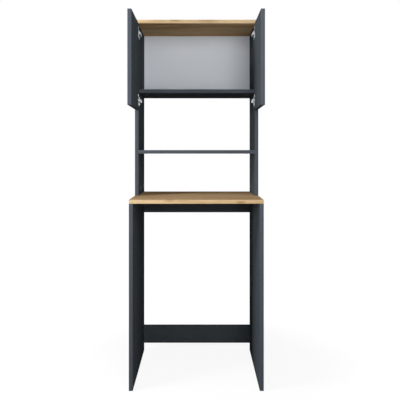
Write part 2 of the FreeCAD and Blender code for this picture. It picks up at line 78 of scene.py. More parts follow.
class Side(Enum):
    """The two sides of the cabinet, with the sign of X on each."""

    LEFT = -1
    RIGHT = 1

    @property
    def word(self) -> str:
        """The side's word in the names of nodes and pieces."""
        return self.name.lower()

    @property
    def outward(self) -> np.ndarray:
        """Unit vector from the middle plane to this side."""
        return np.array([float(self.value), 0.0, 0.0])


class Level(Enum):
    """The two heights at which a door hangs."""

    UPPER = "upper"
    LOWER = "lower"


class Head(Enum):
    """The forms of a screw's head."""

    PAN = "pan"
    COUNTERSUNK = "countersunk"


class Blend(Enum):
    """What a mix node blends: its data type, its first input and its output."""

    COLOUR = ("RGBA", 6, 2)
    NUMBER = ("FLOAT", 2, 0)


def srgb(red: float, green: float, blue: float) -> Colour:
    """Turn a display colour into a linear one by the display's standard curve.

    Args:
        red: Red from 0 to 255.
        green: Green from 0 to 255.
        blue: Blue from 0 to 255.

    Returns:
        The linear colour, each part from 0 to 1.
    """
    parts = np.array([red, green, blue]) / 255.0
    linear = np.where(parts <= 0.04045, parts / 12.92, ((parts + 0.055) / 1.055) ** 2.4)
    return tuple(float(part) for part in linear)


def shaded(colour: Colour, factor: float) -> Colour:
    """Return a colour made lighter or darker by a factor."""
    return tuple(min(part * factor, 1.0) for part in colour)


# Materials


@dataclass(frozen=True)
class Noise:
    """A noise: cells to the metre, number and share of finer layers, warp and space."""

    scale: float
    detail: float = 3.0
    roughness: float = 0.5
    warp: float = 0.0
    stretch: Triple = (1.0, 1.0, 1.0)
    shift: Triple = (0.0, 0.0, 0.0)


@dataclass(frozen=True)
class Span:
    """A span of values, and the results at its two ends."""

    low: float
    high: float
    first: float = 0.0
    last: float = 1.0

    @classmethod
    def even(cls, result: float) -> "Span":
        """Return a span with one result all over."""
        return cls(0.0, 1.0, result, result)


SPOT_FADE = Span(0.15, 1.0, 1.0, 0.0)


@dataclass
class Look:
    """The varying parts of a finish, as sockets of its node tree."""

    colour: Socket
    roughness: Socket
    height: Socket


class Bench:
    """Lays out the nodes of one material."""

    def __init__(self, name: str) -> None:
        """Start a material with one principled shader.

        Args:
            name: Name of the material.
        """
        self.material = bpy.data.materials.new(name)
        self.material.use_nodes = True
        self.tree = self.material.node_tree
        self.tree.nodes.clear()
        self.shader = self.add("ShaderNodeBsdfPrincipled")
        self.output = self.add("ShaderNodeOutputMaterial", {"Surface": self.shader.outputs["BSDF"]})
        self.coordinates = self.add("ShaderNodeTexCoord")
        self.laid: dict[Noise, Socket] = {}

    def add(
        self, kind: str, inputs: dict[str | int, object] | None = None, **settings: object
    ) -> bpy.types.Node:
        """Add a node.

        Args:
            kind: Blender's type name of the node.
            inputs: Socket or constant for inputs, by name or index.
            **settings: Properties to set on it.

        Returns:
            The new node.
        """
        node = self.tree.nodes.new(kind)
        for key, value in settings.items():
            setattr(node, key, value)
        for key, value in (inputs or {}).items():
            self.feed(node.inputs[key], value)
        return node

    def feed(self, target: Socket, value: object) -> None:
        """Give an input a link if the value is a socket, and otherwise a constant.

        Args:
            target: Input socket.
            value: Socket, number, vector or colour.
        """
        if isinstance(value, Socket):
            self.tree.links.new(value, target)
        elif target.type == "RGBA":
            target.default_value = (*value, 1.0)
        else:
            target.default_value = value

    def place(self, stretch: Sequence[float], shift: Sequence[float] = (0.0, 0.0, 0.0)) -> Socket:
        """Return object coordinates, stretched for a pattern with a direction.

        Args:
            stretch: Factor on each axis.
            shift: Offset on each axis, after the factor.

        Returns:
            The vector socket.
        """
        inputs = {"Vector": self.coordinates.outputs["Object"], "Scale": stretch, "Location": shift}
        return self.add("ShaderNodeMapping", inputs).outputs["Vector"]

    def noise(self, noise: Noise) -> Socket:
        """Return the value of a noise, laid out on first use.

        Args:
            noise: The noise.

        Returns:
            Its value, about 0.3 to 0.7.
        """
        if noise not in self.laid:
            inputs = {
                "Vector": self.place(noise.stretch, noise.shift),
                "Scale": noise.scale,
                "Detail": noise.detail,
                "Roughness": noise.roughness,
                "Distortion": noise.warp,
            }
            self.laid[noise] = self.add("ShaderNodeTexNoise", inputs).outputs["Fac"]
        return self.laid[noise]

    def remap(self, value: Socket, span: Span) -> Socket:
        """Carry a span of values smoothly onto another.

        Args:
            value: Value to carry.
            span: Its span and the results at the ends.

        Returns:
            The result, held between the span's first and last.
        """
        inputs = dict(enumerate((value, span.low, span.high, span.first, span.last)))
        return self.add("ShaderNodeMapRange", inputs, interpolation_type="SMOOTHSTEP").outputs[0]

    def maths(self, operation: str, first: object, second: object = 0.0) -> Socket:
        """Return a function of one or two values, by Blender's name of the operation."""
        return self.add("ShaderNodeMath", {0: first, 1: second}, operation=operation).outputs[0]

    def mix(
        self, share: Socket, first: object, second: object, blend: Blend = Blend.COLOUR
    ) -> Socket:
        """Blend two colours or two numbers.

        Args:
            share: Share of the second.
            first: First socket or constant.
            second: Second socket or constant.
            blend: Which of the two kinds.

        Returns:
            The blend.
        """
        kind, index, result = blend.value
        inputs = {0: share, index: first, index + 1: second}
        return self.add("ShaderNodeMix", inputs, data_type=kind).outputs[result]

    def between(self, share: Socket, first: Look, second: Look) -> Look:
        """Blend two looks.

        Args:
            share: Share of the second.
            first: First look.
            second: Second look.

        Returns:
            The blended look.
        """
        return Look(
            self.mix(share, first.colour, second.colour),
            self.mix(share, first.roughness, second.roughness, Blend.NUMBER),
            self.mix(share, first.height, second.height, Blend.NUMBER),
        )

    def spot(self, centre: Triple, radii: Triple) -> Socket:
        """Return a soft spot in space: 1 at its middle and 0 outside its radii.

        Args:
            centre: Middle of the spot.
            radii: Reach of the spot on each axis.

        Returns:
            The strength of the spot.
        """
        stretch = tuple(1.0 / radius for radius in radii)
        shift = tuple(-part / radius for part, radius in zip(centre, radii))
        length = self.add("ShaderNodeVectorMath", {0: self.place(stretch, shift)}, operation="LENGTH")
        return self.remap(length.outputs["Value"], SPOT_FADE)

    def along(self, axis: Axis) -> Socket:
        """Return the part of the surface's normal along an axis."""
        split = self.add("ShaderNodeSeparateXYZ", {0: self.coordinates.outputs["Normal"]})
        return split.outputs[axis.value]

    def wear(self) -> Socket:
        """Return how far a point lies on the rounding of an edge, from the mesh: the mask of the
        painted edge highlight and the bands' wear.
        """
        return self.add("ShaderNodeAttribute", attribute_name=EDGE_HIGHLIGHT_AND_WEAR).outputs["Fac"]


@dataclass(frozen=True)
class Layer:
    """A colour that covers what lies under it where a noise is strong."""

    colour: Colour
    noise: Noise
    span: Span

    def strength(self, bench: Bench) -> Socket:
        """Return the share of this colour at each point."""
        return bench.remap(bench.noise(self.noise), self.span)

    def cover(self, bench: Bench, under: object) -> Socket:
        """Return a colour with this layer over it."""
        return bench.mix(self.strength(bench), under, self.colour)


@dataclass(frozen=True)
class Rubbing(Layer):
    """A layer that shows only on the roundings of edges: a painted edge highlight, and on the edge
    bands also wear.
    """

    def strength(self, bench: Bench) -> Socket:
        """Return the share of this colour, with none away from the edges."""
        return bench.maths("MULTIPLY", bench.wear(), super().strength(bench))


@dataclass(frozen=True)
class Knot(Layer):
    """A layer that shows only in one soft spot."""

    centre: Triple
    radii: Triple

    def strength(self, bench: Bench) -> Socket:
        """Return the share of this colour, with none outside the spot."""
        return bench.maths("MULTIPLY", bench.spot(self.centre, self.radii), super().strength(bench))


@dataclass(frozen=True)
class Coat:
    """A surface: layers of colour on a ground, its gloss in a span of roughness, its relief."""

    colour: Colour
    gloss: Noise
    roughness: Span
    relief: Noise

    def colours(self) -> tuple[Colour, list[Layer]]:
        """Return the ground and the layers over it."""
        return self.colour, []

    def height(self, bench: Bench) -> Socket:
        """Return the relief that the bump follows."""
        return bench.noise(self.relief)

    def lay(self, bench: Bench) -> Look:
        """Lay out the coat.

        Args:
            bench: Bench of the material.

        Returns:
            The varying parts.
        """
        colour, layers = self.colours()
        for layer in layers:
            colour = layer.cover(bench, colour)
        return Look(colour, bench.remap(bench.noise(self.gloss), self.roughness), self.height(bench))


@dataclass(frozen=True)
class CloudedCoat(Coat):
    """A coat with faint clouds of a paler shade on a darker one."""

    clouds: Noise
    cloud_shades: tuple[float, float]
    cloud_span: Span = Span(0.35, 0.65)

    def colours(self) -> tuple[Colour, list[Layer]]:
        """Return the darker shade, and the clouds over it."""
        dark, pale = (shaded(self.colour, shade) for shade in self.cloud_shades)
        return dark, [Layer(pale, self.clouds, self.cloud_span)]


@dataclass(frozen=True)
class FleckedCoat(Coat):
    """A coat with flecks of a second colour."""

    fleck: Colour
    flecks: Noise
    fleck_span: Span

    def colours(self) -> tuple[Colour, list[Layer]]:
        """Return the colour, and the flecks over it."""
        return self.colour, [Layer(self.fleck, self.flecks, self.fleck_span)]


@dataclass(frozen=True)
class RubbedCoat(Coat):
    """A coat with a painted edge highlight: another shade on the roundings of its edges."""

    rubbed_shade: float
    highlight_span: Span

    def colours(self) -> tuple[Colour, list[Layer]]:
        """Lay the painted edge highlight over the coat's own colours.

        Returns:
            The ground, and the layers from the lowest up.
        """
        ground, layers = super().colours()
        edges = Rubbing(shaded(self.colour, self.rubbed_shade), self.relief, self.highlight_span)
        return ground, [*layers, edges]


@dataclass(frozen=True)
class GreyDecor(CloudedCoat):
    """Blue-grey melamine with a fine pearl."""

    colour: Colour = srgb(75, 81, 86)
    gloss: Noise = Noise(11.0, 5.0, 0.62, stretch=(1.0, 1.0, 0.6))
    roughness: Span = Span(0.32, 0.68, 0.5, 0.64)
    relief: Noise = Noise(1500.0, 2.0, 0.6)
    clouds: Noise = Noise(7.0, 4.0)
    cloud_shades: tuple[float, float] = (0.965, 1.035)
    pearl_shade: float = 1.25
    pearl_span: Span = Span(0.4, 0.62, 0.0, 0.18)

    def colours(self) -> tuple[Colour, list[Layer]]:
        """Lay the pearl over the clouded ground.

        Returns:
            The ground, and the layers from the lowest up.
        """
        ground, layers = super().colours()
        pearl = Layer(shaded(self.colour, self.pearl_shade), self.relief, self.pearl_span)
        return ground, [*layers, pearl]


@dataclass(frozen=True)
class OakDecor(Coat):
    """Oak-look decor with its grain along X, and knots given by middle and radii."""

    colour: Colour = srgb(194, 157, 114)
    dark: Colour = srgb(152, 111, 69)
    pale: Colour = srgb(208, 177, 137)
    pore: Colour = srgb(118, 84, 52)
    knot: Colour = srgb(112, 76, 42)
    tone: Noise = Noise(2.3, 3.0, 0.55, 0.6, stretch=(0.6, 3.4, 3.4))
    tone_span: Span = Span(0.36, 0.66, 0.0, 0.75)
    rings: Noise = Noise(3.1, 4.0, 0.6, 0.9, stretch=(0.55, 13.0, 13.0))
    ring_span: Span = Span(0.46, 0.7, 0.0, 0.7)
    fibre: Noise = Noise(8.0, 4.0, 0.62, stretch=(1.0, 34.0, 34.0), shift=(3.1, 0.7, 0.2))
    fibre_span: Span = Span(0.5, 0.75, 0.0, 0.45)
    pores: Noise = Noise(34.0, 2.0, 0.5, stretch=(1.0, 30.0, 30.0), shift=(7.7, 1.9, 4.2))
    pore_span: Span = Span(0.6, 0.7, 0.0, 0.5)
    gloss: Noise = rings
    roughness: Span = Span(0.3, 0.7, 0.62, 0.5)
    relief: Noise = fibre
    swirl_span: Span = Span(0.3, 0.62, 0.25, 0.8)
    knots: tuple[tuple[Triple, Triple], ...] = (
        ((0.216, -0.232, 0.912), (0.034, 0.03, 0.010)),
        ((-0.130, -0.215, 0.917), (0.04, 0.03, 0.012)),
        ((-0.110, -0.011, 1.838), (0.045, 0.03, 0.010)),
        ((0.052, -0.011, 1.836), (0.075, 0.02, 0.012)),
        ((-0.062, 0.045, 1.825), (0.055, 0.016, 0.012)),
        ((0.06, -0.07, 0.923), (0.05, 0.011, 0.012)),
    )

    def short_pores(self) -> Layer:
        """Return the short dark pores."""
        return Layer(self.pore, self.pores, self.pore_span)

    def colours(self) -> tuple[Colour, list[Layer]]:
        """Lay tone, rings, fibre, pores and knots over the pale wood.

        Returns:
            The ground, and the layers from the lowest up.
        """
        layers = [
            Layer(self.colour, self.tone, self.tone_span),
            Layer(self.dark, self.rings, self.ring_span),
            Layer(self.dark, self.fibre, self.fibre_span),
            self.short_pores(),
        ]
        for centre, radii in self.knots:
            layers.append(Knot(self.knot, self.rings, self.swirl_span, centre, radii))
        return self.pale, layers

    def height(self, bench: Bench) -> Socket:
        """Return the fibre's relief, sunk at the pores."""
        return bench.maths("SUBTRACT", super().height(bench), self.short_pores().strength(bench))


@dataclass(frozen=True)
class Lacquer(CloudedCoat):
    """Pale lacquer with a fine peel."""

    colour: Colour = srgb(234, 240, 248)
    relief: Noise = Noise(420.0, 2.0)
    gloss: Noise = relief
    roughness: Span = Span(0.3, 0.7, 0.42, 0.55)
    clouds: Noise = Noise(4.0)
    cloud_shades: tuple[float, float] = (0.98, 1.0)


@dataclass(frozen=True)
class BareFibre(FleckedCoat):
    """Pressed brown fibres."""

    colour: Colour = srgb(120, 88, 58)
    fleck: Colour = srgb(158, 122, 84)
    flecks: Noise = Noise(210.0, 5.0, 0.7, 1.2, stretch=(1.0, 1.0, 2.2))
    fleck_span: Span = Span(0.36, 0.62)
    gloss: Noise = flecks
    roughness: Span = Span(0.3, 0.7, 0.75, 0.95)
    relief: Noise = flecks


@dataclass(frozen=True)
class Plating(RubbedCoat, FleckedCoat):
    """Plated steel with drawn lines and small stains, and a painted highlight on its edges."""

    colour: Colour = (0.37, 0.38, 0.395)
    fleck: Colour = (0.20, 0.205, 0.212)
    flecks: Noise = Noise(130.0, 5.0, 0.65)
    fleck_span: Span = Span(0.5, 0.72, 0.0, 0.7)
    relief: Noise = Noise(300.0, 3.0, 0.6, stretch=(1.0, 1.0, 14.0))
    gloss: Noise = relief
    roughness: Span = Span(0.3, 0.7, 0.2, 0.38)
    # Painted edge highlight: 1.3 times paler on half the roundings' mask.
    rubbed_shade: float = 1.3
    highlight_span: Span = Span.even(0.5)


@dataclass(frozen=True)
class Moulding(RubbedCoat, CloudedCoat):
    """Moulded plastic with a fine spark texture, and a painted highlight on its edges."""

    colour: Colour = srgb(75, 79, 87)
    relief: Noise = Noise(2600.0, 2.0)
    gloss: Noise = relief
    roughness: Span = Span(0.3, 0.7, 0.48, 0.62)
    clouds: Noise = Noise(90.0)
    cloud_shades: tuple[float, float] = (0.94, 1.05)
    # Painted edge highlight: 1.3 times paler on 0.35 of the roundings' mask.
    rubbed_shade: float = 1.3
    highlight_span: Span = Span.even(0.35)


@dataclass(frozen=True)
class TurnedBeech(FleckedCoat):
    """Turned beech with short dark flecks."""

    colour: Colour = srgb(206, 166, 122)
    fleck: Colour = srgb(150, 102, 66)
    flecks: Noise = Noise(420.0, 3.0, 0.6, stretch=(1.0, 5.0, 5.0))
    fleck_span: Span = Span(0.55, 0.68, 0.0, 0.8)
    gloss: Noise = flecks
    roughness: Span = Span(0.3, 0.7, 0.6, 0.75)
    relief: Noise = flecks


@dataclass(frozen=True)
class ChipCore:
    """Pressed chips, flatter along the thickness of their board."""

    colour: Colour = srgb(186, 152, 108)
    dark: Colour = srgb(128, 94, 60)
    scale: float = 380.0
    flatness: float = 2.6
    roughness: Span = Span(0.0, 0.6, 0.92, 0.8)

    def lay(self, bench: Bench, thickness: Axis) -> Look:
        """Lay out the core.

        Args:
            bench: Bench of the material.
            thickness: Axis across the board.

        Returns:
            The varying parts.
        """
        stretch = [1.0, 1.0, 1.0]
        stretch[thickness.value] = self.flatness
        cells = bench.add("ShaderNodeTexVoronoi", {"Vector": bench.place(stretch), "Scale": self.scale})
        shade = bench.add("ShaderNodeSeparateColor", {0: cells.outputs["Color"]})
        distance = cells.outputs["Distance"]
        colour = bench.mix(shade.outputs[0], self.colour, self.dark)
        return Look(colour, bench.remap(distance, self.roughness), distance)


@dataclass(frozen=True)
class Finish:
    """A coat with its bump and shine, painted once and used on many pieces."""

    name: str
    slot: str
    coat: Coat
    bump: float = 0.2
    bump_depth: float = 0.0001
    specular: float = 0.5
    metallic: float = 0.0

    def lay(self, bench: Bench) -> Look:
        """Return the varying parts of the finish."""
        return self.coat.lay(bench)

    def make(self, bench: Bench) -> bpy.types.Material:
        """Join the varying parts, the bump and the shine to the shader.

        Args:
            bench: Bench of the material.

        Returns:
            The material.
        """
        look = self.lay(bench)
        bump = {"Strength": self.bump, "Distance": self.bump_depth, "Height": look.height}
        inputs = {
            "Base Color": look.colour,
            "Roughness": look.roughness,
            "Normal": bench.add("ShaderNodeBump", bump).outputs["Normal"],
            "Specular IOR Level": self.specular,
            "Metallic": self.metallic,
        }
        for key, value in inputs.items():
            bench.feed(bench.shader.inputs[key], value)
        return bench.material

    def paint(self) -> bpy.types.Material:
        """Make the material of this finish on first use.

        Returns:
            The material.
        """
        if self.name not in PAINTED:
            PAINTED[self.name] = self.make(Bench(self.name))
        return PAINTED[self.name]


@dataclass(frozen=True)
class BoardFinish(Finish):
    """A board with its coat on both faces and a bare chip core at its cut edges."""

    coat: Coat = GreyDecor()
    bump: float = 0.22
    bump_depth: float = 0.00012
    specular: float = 0.0
    thickness: Axis = Axis.X
    core: ChipCore = ChipCore()
    square_from: float = 0.9

    def lay(self, bench: Bench) -> Look:
        """Lay the coat where a face is square to the thickness, and the core elsewhere.

        Args:
            bench: Bench of the material.

        Returns:
            The varying parts.
        """
        across = bench.maths("ABSOLUTE", bench.along(self.thickness))
        on_face = bench.maths("GREATER_THAN", across, self.square_from)
        return bench.between(on_face, self.core.lay(bench, self.thickness), self.coat.lay(bench))


@dataclass(frozen=True)
class BandFinish(Finish):
    """An edge band with the decor of its board, paler in patches on its roundings: wear and a painted
    edge highlight.
    """

    bump: float = 0.18
    specular: float = 0.0
    # Paler patches on the roundings: wear and a painted edge highlight.
    rubbed_shade: float = 1.35
    patches: Noise = Noise(60.0, 4.0, 0.6)
    patch_span: Span = Span(0.42, 0.62, 0.0, 0.55)

    def lay(self, bench: Bench) -> Look:
        """Lay the paler patches, wear and a painted edge highlight, over the decor.

        Args:
            bench: Bench of the material.

        Returns:
            The varying parts.
        """
        look = self.coat.lay(bench)
        edges = Rubbing(shaded(self.coat.colour, self.rubbed_shade), self.patches, self.patch_span)
        return Look(edges.cover(bench, look.colour), look.roughness, look.height)


@dataclass(frozen=True)
class BackFinish(Finish):
    """Thin fibreboard with its coat on the front, and bare on its rear and edges."""

    coat: Coat = Lacquer()
    bump_depth: float = 0.00012
    specular: float = 0.0
    bare: Coat = BareFibre()
    front_below: float = -0.5

    def lay(self, bench: Bench) -> Look:
        """Return the coat where a face looks forward, and bare fibre elsewhere."""
        front = bench.maths("LESS_THAN", bench.along(Axis.Y), self.front_below)
        return bench.between(front, self.bare.lay(bench), self.coat.lay(bench))


@dataclass(frozen=True)
class SteelFinish(Finish):
    """Plated steel."""

    coat: Coat = Plating()
    bump: float = 0.12
    bump_depth: float = 0.00005
    metallic: float = 1.0


@dataclass(frozen=True)
class PlasticFinish(Finish):
    """Moulded plastic."""

    coat: Coat = Moulding()
    bump: float = 0.15
    bump_depth: float = 0.00005
    specular: float = 0.04


PALE_OAK = OakDecor(srgb(203, 172, 130), dark=srgb(168, 132, 90), pale=srgb(216, 189, 149))
BRIGHT_ZINC = Plating((0.48, 0.50, 0.52), fleck=(0.30, 0.31, 0.32), roughness=Span(0.3, 0.7, 0.32, 0.5))

GREY_UPRIGHT = BoardFinish("grey_board_upright", "grey_board", thickness=Axis.X)
GREY_LEVEL = BoardFinish("grey_board_level", "grey_board", thickness=Axis.Z)
GREY_RAIL = BoardFinish("grey_board_rail", "grey_board", thickness=Axis.Y)
OAK_LEVEL = BoardFinish("oak_board_level", "oak_board", OakDecor(), thickness=Axis.Z)
# The bands' roundings are paler in patches: wear and a painted edge highlight.
GREY_BAND = BandFinish("matt_grey_band", "grey_edge_band", GreyDecor(srgb(78, 83, 91)))
OAK_BAND = BandFinish("oak_look_band", "oak_edge_band", PALE_OAK, rubbed_shade=1.12)
BACK = BackFinish("lacquered_fibreboard", "fibreboard")
# Steel and plastic carry a painted edge highlight on their roundings.
NICKEL = SteelFinish("bright_nickel", "nickel_plated_steel")
ZINC = SteelFinish("bright_zinc", "zinc_plated_steel", BRIGHT_ZINC)
GREY_PLASTIC = PlasticFinish("grey_moulding", "grey_plastic")
PALE_PLASTIC = PlasticFinish("pale_moulding", "pale_plastic", Moulding(srgb(222, 222, 216)))
BEECH = Finish("turned_beech", "beech", TurnedBeech())


# Surfaces


@dataclass
class Patch:
    """A closed shell: points, faces as tuples of indices, and for each point its painted edge
    highlight, with wear on edge bands.
    """

    points: np.ndarray
    faces: list[tuple[int, ...]]
    wear: np.ndarray


def grid_points(x: np.ndarray, y: np.ndarray, z: np.ndarray) -> np.ndarray:
    """Return points from three coordinates that are spread over one grid."""
    return np.stack(np.broadcast_arrays(x, y, z), -1)


def ring_angles(columns: int) -> np.ndarray:
    """Return evenly spaced angles of one full turn."""
    return np.linspace(0.0, 2 * np.pi, columns, endpoint=False)


def grid_patch(points: np.ndarray, wear: np.ndarray, capped: bool = False) -> Patch:
    """Make a shell of four-sided faces from a grid whose columns close on themselves.

    Args:
        points: Points by row and column.
        wear: Painted edge highlight, with wear on edge bands, of the points or of whole rows or
            columns.
        capped: True to shut the first and the last row with a flat face.

    Returns:
        The shell.
    """
    rows, columns, _ = points.shape
    row, column = np.meshgrid(np.arange(rows - 1) * columns, np.arange(columns), indexing="ij")
    beside = (column + 1) % columns
    corners = (row + column, row + beside, row + columns + beside, row + columns + column)
    faces = [tuple(face) for face in np.stack(corners, -1).reshape(-1, 4).tolist()]
    if capped:
        last_row = (rows - 1) * columns
        faces.append(tuple(range(columns))[::-1])
        faces.append(tuple(range(last_row, last_row + columns)))
    return Patch(points.reshape(-1, 3), faces, np.broadcast_to(wear, (rows, columns)).ravel())


def rounded_slab(
    low: np.ndarray, high: np.ndarray, radius: float, steps: int = 3, highlight_and_wear_lean: float = 0.25
) -> Patch:
    """Make a block with every edge rounded.

    The point at longitude u and latitude v is the point of a small sphere there, moved
    out to the corner of its octant: middle + sign * (half size - radius) + radius * normal.
    The angles at the octants' borders stand twice, so the flat faces lie between them.

    Args:
        low: Lowest corner.
        high: Highest corner.
        radius: Radius of the rounding.
        steps: Parts of each quarter turn.
        highlight_and_wear_lean: How far the normal leans from the axes where the painted edge
            highlight, and the bands' wear, is full.

    Returns:
        The closed shell.
    """
    middle, half = (low + high) / 2, (high - low) / 2
    quarter = np.linspace(0.0, np.pi / 2, steps + 1)
    longitude = (np.arange(4)[:, None] * np.pi / 2 + quarter).ravel()
    latitude = np.concatenate([quarter - np.pi / 2, quarter])
    v, u = np.meshgrid(latitude, longitude, indexing="ij")
    normal = grid_points(np.cos(v) * np.cos(u), np.cos(v) * np.sin(u), np.sin(v))
    quadrant = np.repeat(np.arange(4), steps + 1)
    sign = grid_points(
        np.where(np.isin(quadrant, (0, 3)), 1.0, -1.0),
        np.where(quadrant < 2, 1.0, -1.0),
        np.repeat((-1.0, 1.0), steps + 1)[:, None],
    )
    # Painted edge highlight, with wear on edge bands, where the normal leans from the axes.
    wear = np.clip((1.0 - np.abs(normal).max(-1)) / highlight_and_wear_lean, 0.0, 1.0)
    patch = grid_patch(middle + sign * (half - radius) + radius * normal, wear)
    corners = np.arange(4) * (steps + 1)
    last_row = (len(latitude) - 1) * len(longitude)
    patch.faces.append(tuple(corners[::-1].tolist()))
    patch.faces.append(tuple((last_row + corners).tolist()))
    return patch


def about_axis(
    start: Sequence[float], direction: np.ndarray, grid: np.ndarray, columns: int
) -> np.ndarray:
    """Lay radii and distances round an axis.

    The point at row v and angle u is start + along(v, u) * direction + radius(v, u) *
    (first * cos u + second * sin u), with first and second square to the axis.

    Args:
        start: Point on the axis where the distance is 0.
        direction: Unit vector along the frame's X, Y or Z.
        grid: Radius and distance along the axis, by row and column or by row alone.
        columns: Points round the axis.

    Returns:
        Points by row and column.
    """
    first = np.roll(np.abs(direction), 1)
    second = np.cross(direction, first)
    angle = ring_angles(columns)[:, None]
    ring = np.cos(angle) * first + np.sin(angle) * second
    return np.asarray(start, float) + grid[..., 1:] * direction + grid[..., :1] * ring


def turned(
    start: Sequence[float], direction: np.ndarray, profile: np.ndarray, columns: int = 32
) -> Patch:
    """Turn a profile about an axis, with a painted edge highlight where it bends.

    Args:
        start: Point on the axis where the profile's second number is 0.
        direction: Unit vector of the axis.
        profile: Rows of radius and distance along the axis, from the axis to the axis.
        columns: Points round the axis.

    Returns:
        The closed shell.
    """
    runs = np.diff(profile, axis=0)
    heading = np.unwrap(np.arctan2(runs[:, 1], runs[:, 0]))
    # Painted edge highlight where the profile bends.
    bend = np.zeros((len(profile), 1))
    bend[1:-1, 0] = np.clip(np.abs(np.diff(heading)), 0.0, 1.0)
    return grid_patch(about_axis(start, direction, profile[:, None, :], columns), bend)


def arc(
    centre: Sequence[float], radius: float, first: float, last: float, steps: int = 6
) -> np.ndarray:
    """Return points of a circle's arc in a plane.

    Args:
        centre: Middle of the circle.
        radius: Its radius.
        first: First angle in degrees.
        last: Last angle in degrees.
        steps: Parts of the arc.

    Returns:
        Rows of two coordinates.
    """
    angle = np.radians(np.linspace(first, last, steps + 1))
    return np.asarray(centre, float) + radius * np.stack([np.cos(angle), np.sin(angle)], -1)


def smoothed(points: np.ndarray, rounds: int = 3) -> np.ndarray:
    """Cut the corners of an open line, keeping its ends.

    Each round puts two points on each run, at a quarter and three quarters of it.

    Args:
        points: Rows of coordinates.
        rounds: Number of rounds.

    Returns:
        The smoother line.
    """
    line = points
    for _ in range(rounds):
        near = 0.75 * line[:-1] + 0.25 * line[1:]
        far = 0.25 * line[:-1] + 0.75 * line[1:]
        inner = np.stack([near, far], 1).reshape(-1, line.shape[1])
        line = np.concatenate([line[:1], inner, line[-1:]])
    return line


def ribbon(
    path: np.ndarray,
    thickness: np.ndarray,
    width: float,
    level: float,
    corner: float = 0.25,
    highlight_power: int = 6,
    columns: int = 24,
) -> Patch:
    """Carry the section of a flat bar along a path in a level plane.

    The section is a superellipse: across = thickness / 2 * sign * |cos u| ** corner and
    up = width / 2 * sign * |sin u| ** corner. The path's normal carries the first and Z
    the second. The painted edge highlight is |sin 2u| ** highlight_power, most at the corners.

    Args:
        path: Rows of X and Y.
        thickness: Thickness at each row.
        width: Width along Z.
        level: Z of the middle.
        corner: Power of the superellipse, smaller for squarer corners.
        highlight_power: Power of the painted edge highlight, larger for a narrower one.
        columns: Points round the section.

    Returns:
        The closed shell.
    """
    angle = (np.arange(columns) + 0.5) * 2 * np.pi / columns
    across, up = (
        np.sign(part) * np.abs(part) ** corner / 2 for part in (np.cos(angle), np.sin(angle))
    )
    run = np.gradient(path, axis=0)
    run /= np.linalg.norm(run, axis=1, keepdims=True)
    normal = np.stack([run[:, 1], -run[:, 0]], -1)
    flat = path[:, None, :] + normal[:, None, :] * (thickness[:, None] * across)[..., None]
    points = grid_points(flat[..., 0], flat[..., 1], level + width * up)
    # Painted edge highlight, most at the section's corners.
    return grid_patch(points, np.abs(np.sin(2 * angle)) ** highlight_power, capped=True)


def slot_reach(
    angle: np.ndarray, half_run: float, radius: float, offset: float = 0.0, least: float = 1e-6
) -> np.ndarray:
    """Return how far a slot-shaped outline lies from a point inside it.

    The outline is all points at one radius from a straight run. A ray meets either a
    straight side, at (offset +- radius) / cos, or an end circle, at the larger root of
    its quadratic.

    Args:
        angle: Directions of the rays, from the axis across the run.
        half_run: Half of the straight run.
        radius: Radius of the ends.
        offset: Distance of the run from the point.
        least: Least cosine that is divided by.

    Returns:
        The distance in each direction.
    """
    across, along = np.cos(angle), np.sin(angle)
    steep = np.where(np.abs(across) < least, least, across)
    to_side = np.where(steep > 0, offset + radius, offset - radius) / steep
    end = np.where(along >= 0, half_run, -half_run)
    middle = across * offset + along * end
    root = np.maximum(middle**2 - offset**2 - end**2 + radius**2, 0.0)
    to_end = middle + np.sqrt(root)
    return np.where(np.abs(to_side * along) <= half_run, to_side, to_end)


def button(
    radius: float, height: float, crown: float, fullness: float = 0.7, steps: int = 6
) -> np.ndarray:
    """Return the profile of a low round button with a soft shoulder.

    The dome's radius is radius * cos(u) ** fullness, and its height crown * sin(u).

    Args:
        radius: Radius of its foot.
        height: Height at its middle.
        crown: Part of the height that is domed.
        fullness: Power of the dome, smaller for a squarer shoulder.
        steps: Parts of the dome.

    Returns:
        Rows of radius and distance, from the foot's middle to the top's middle.
    """
    angle = np.linspace(0.0, np.pi / 2, steps + 1)
    rise = height - crown + crown * np.sin(angle)
    dome = np.stack([radius * np.cos(angle) ** fullness, rise], -1)
    return np.concatenate([[[0.0, 0.0], [radius, 0.0]], dome])


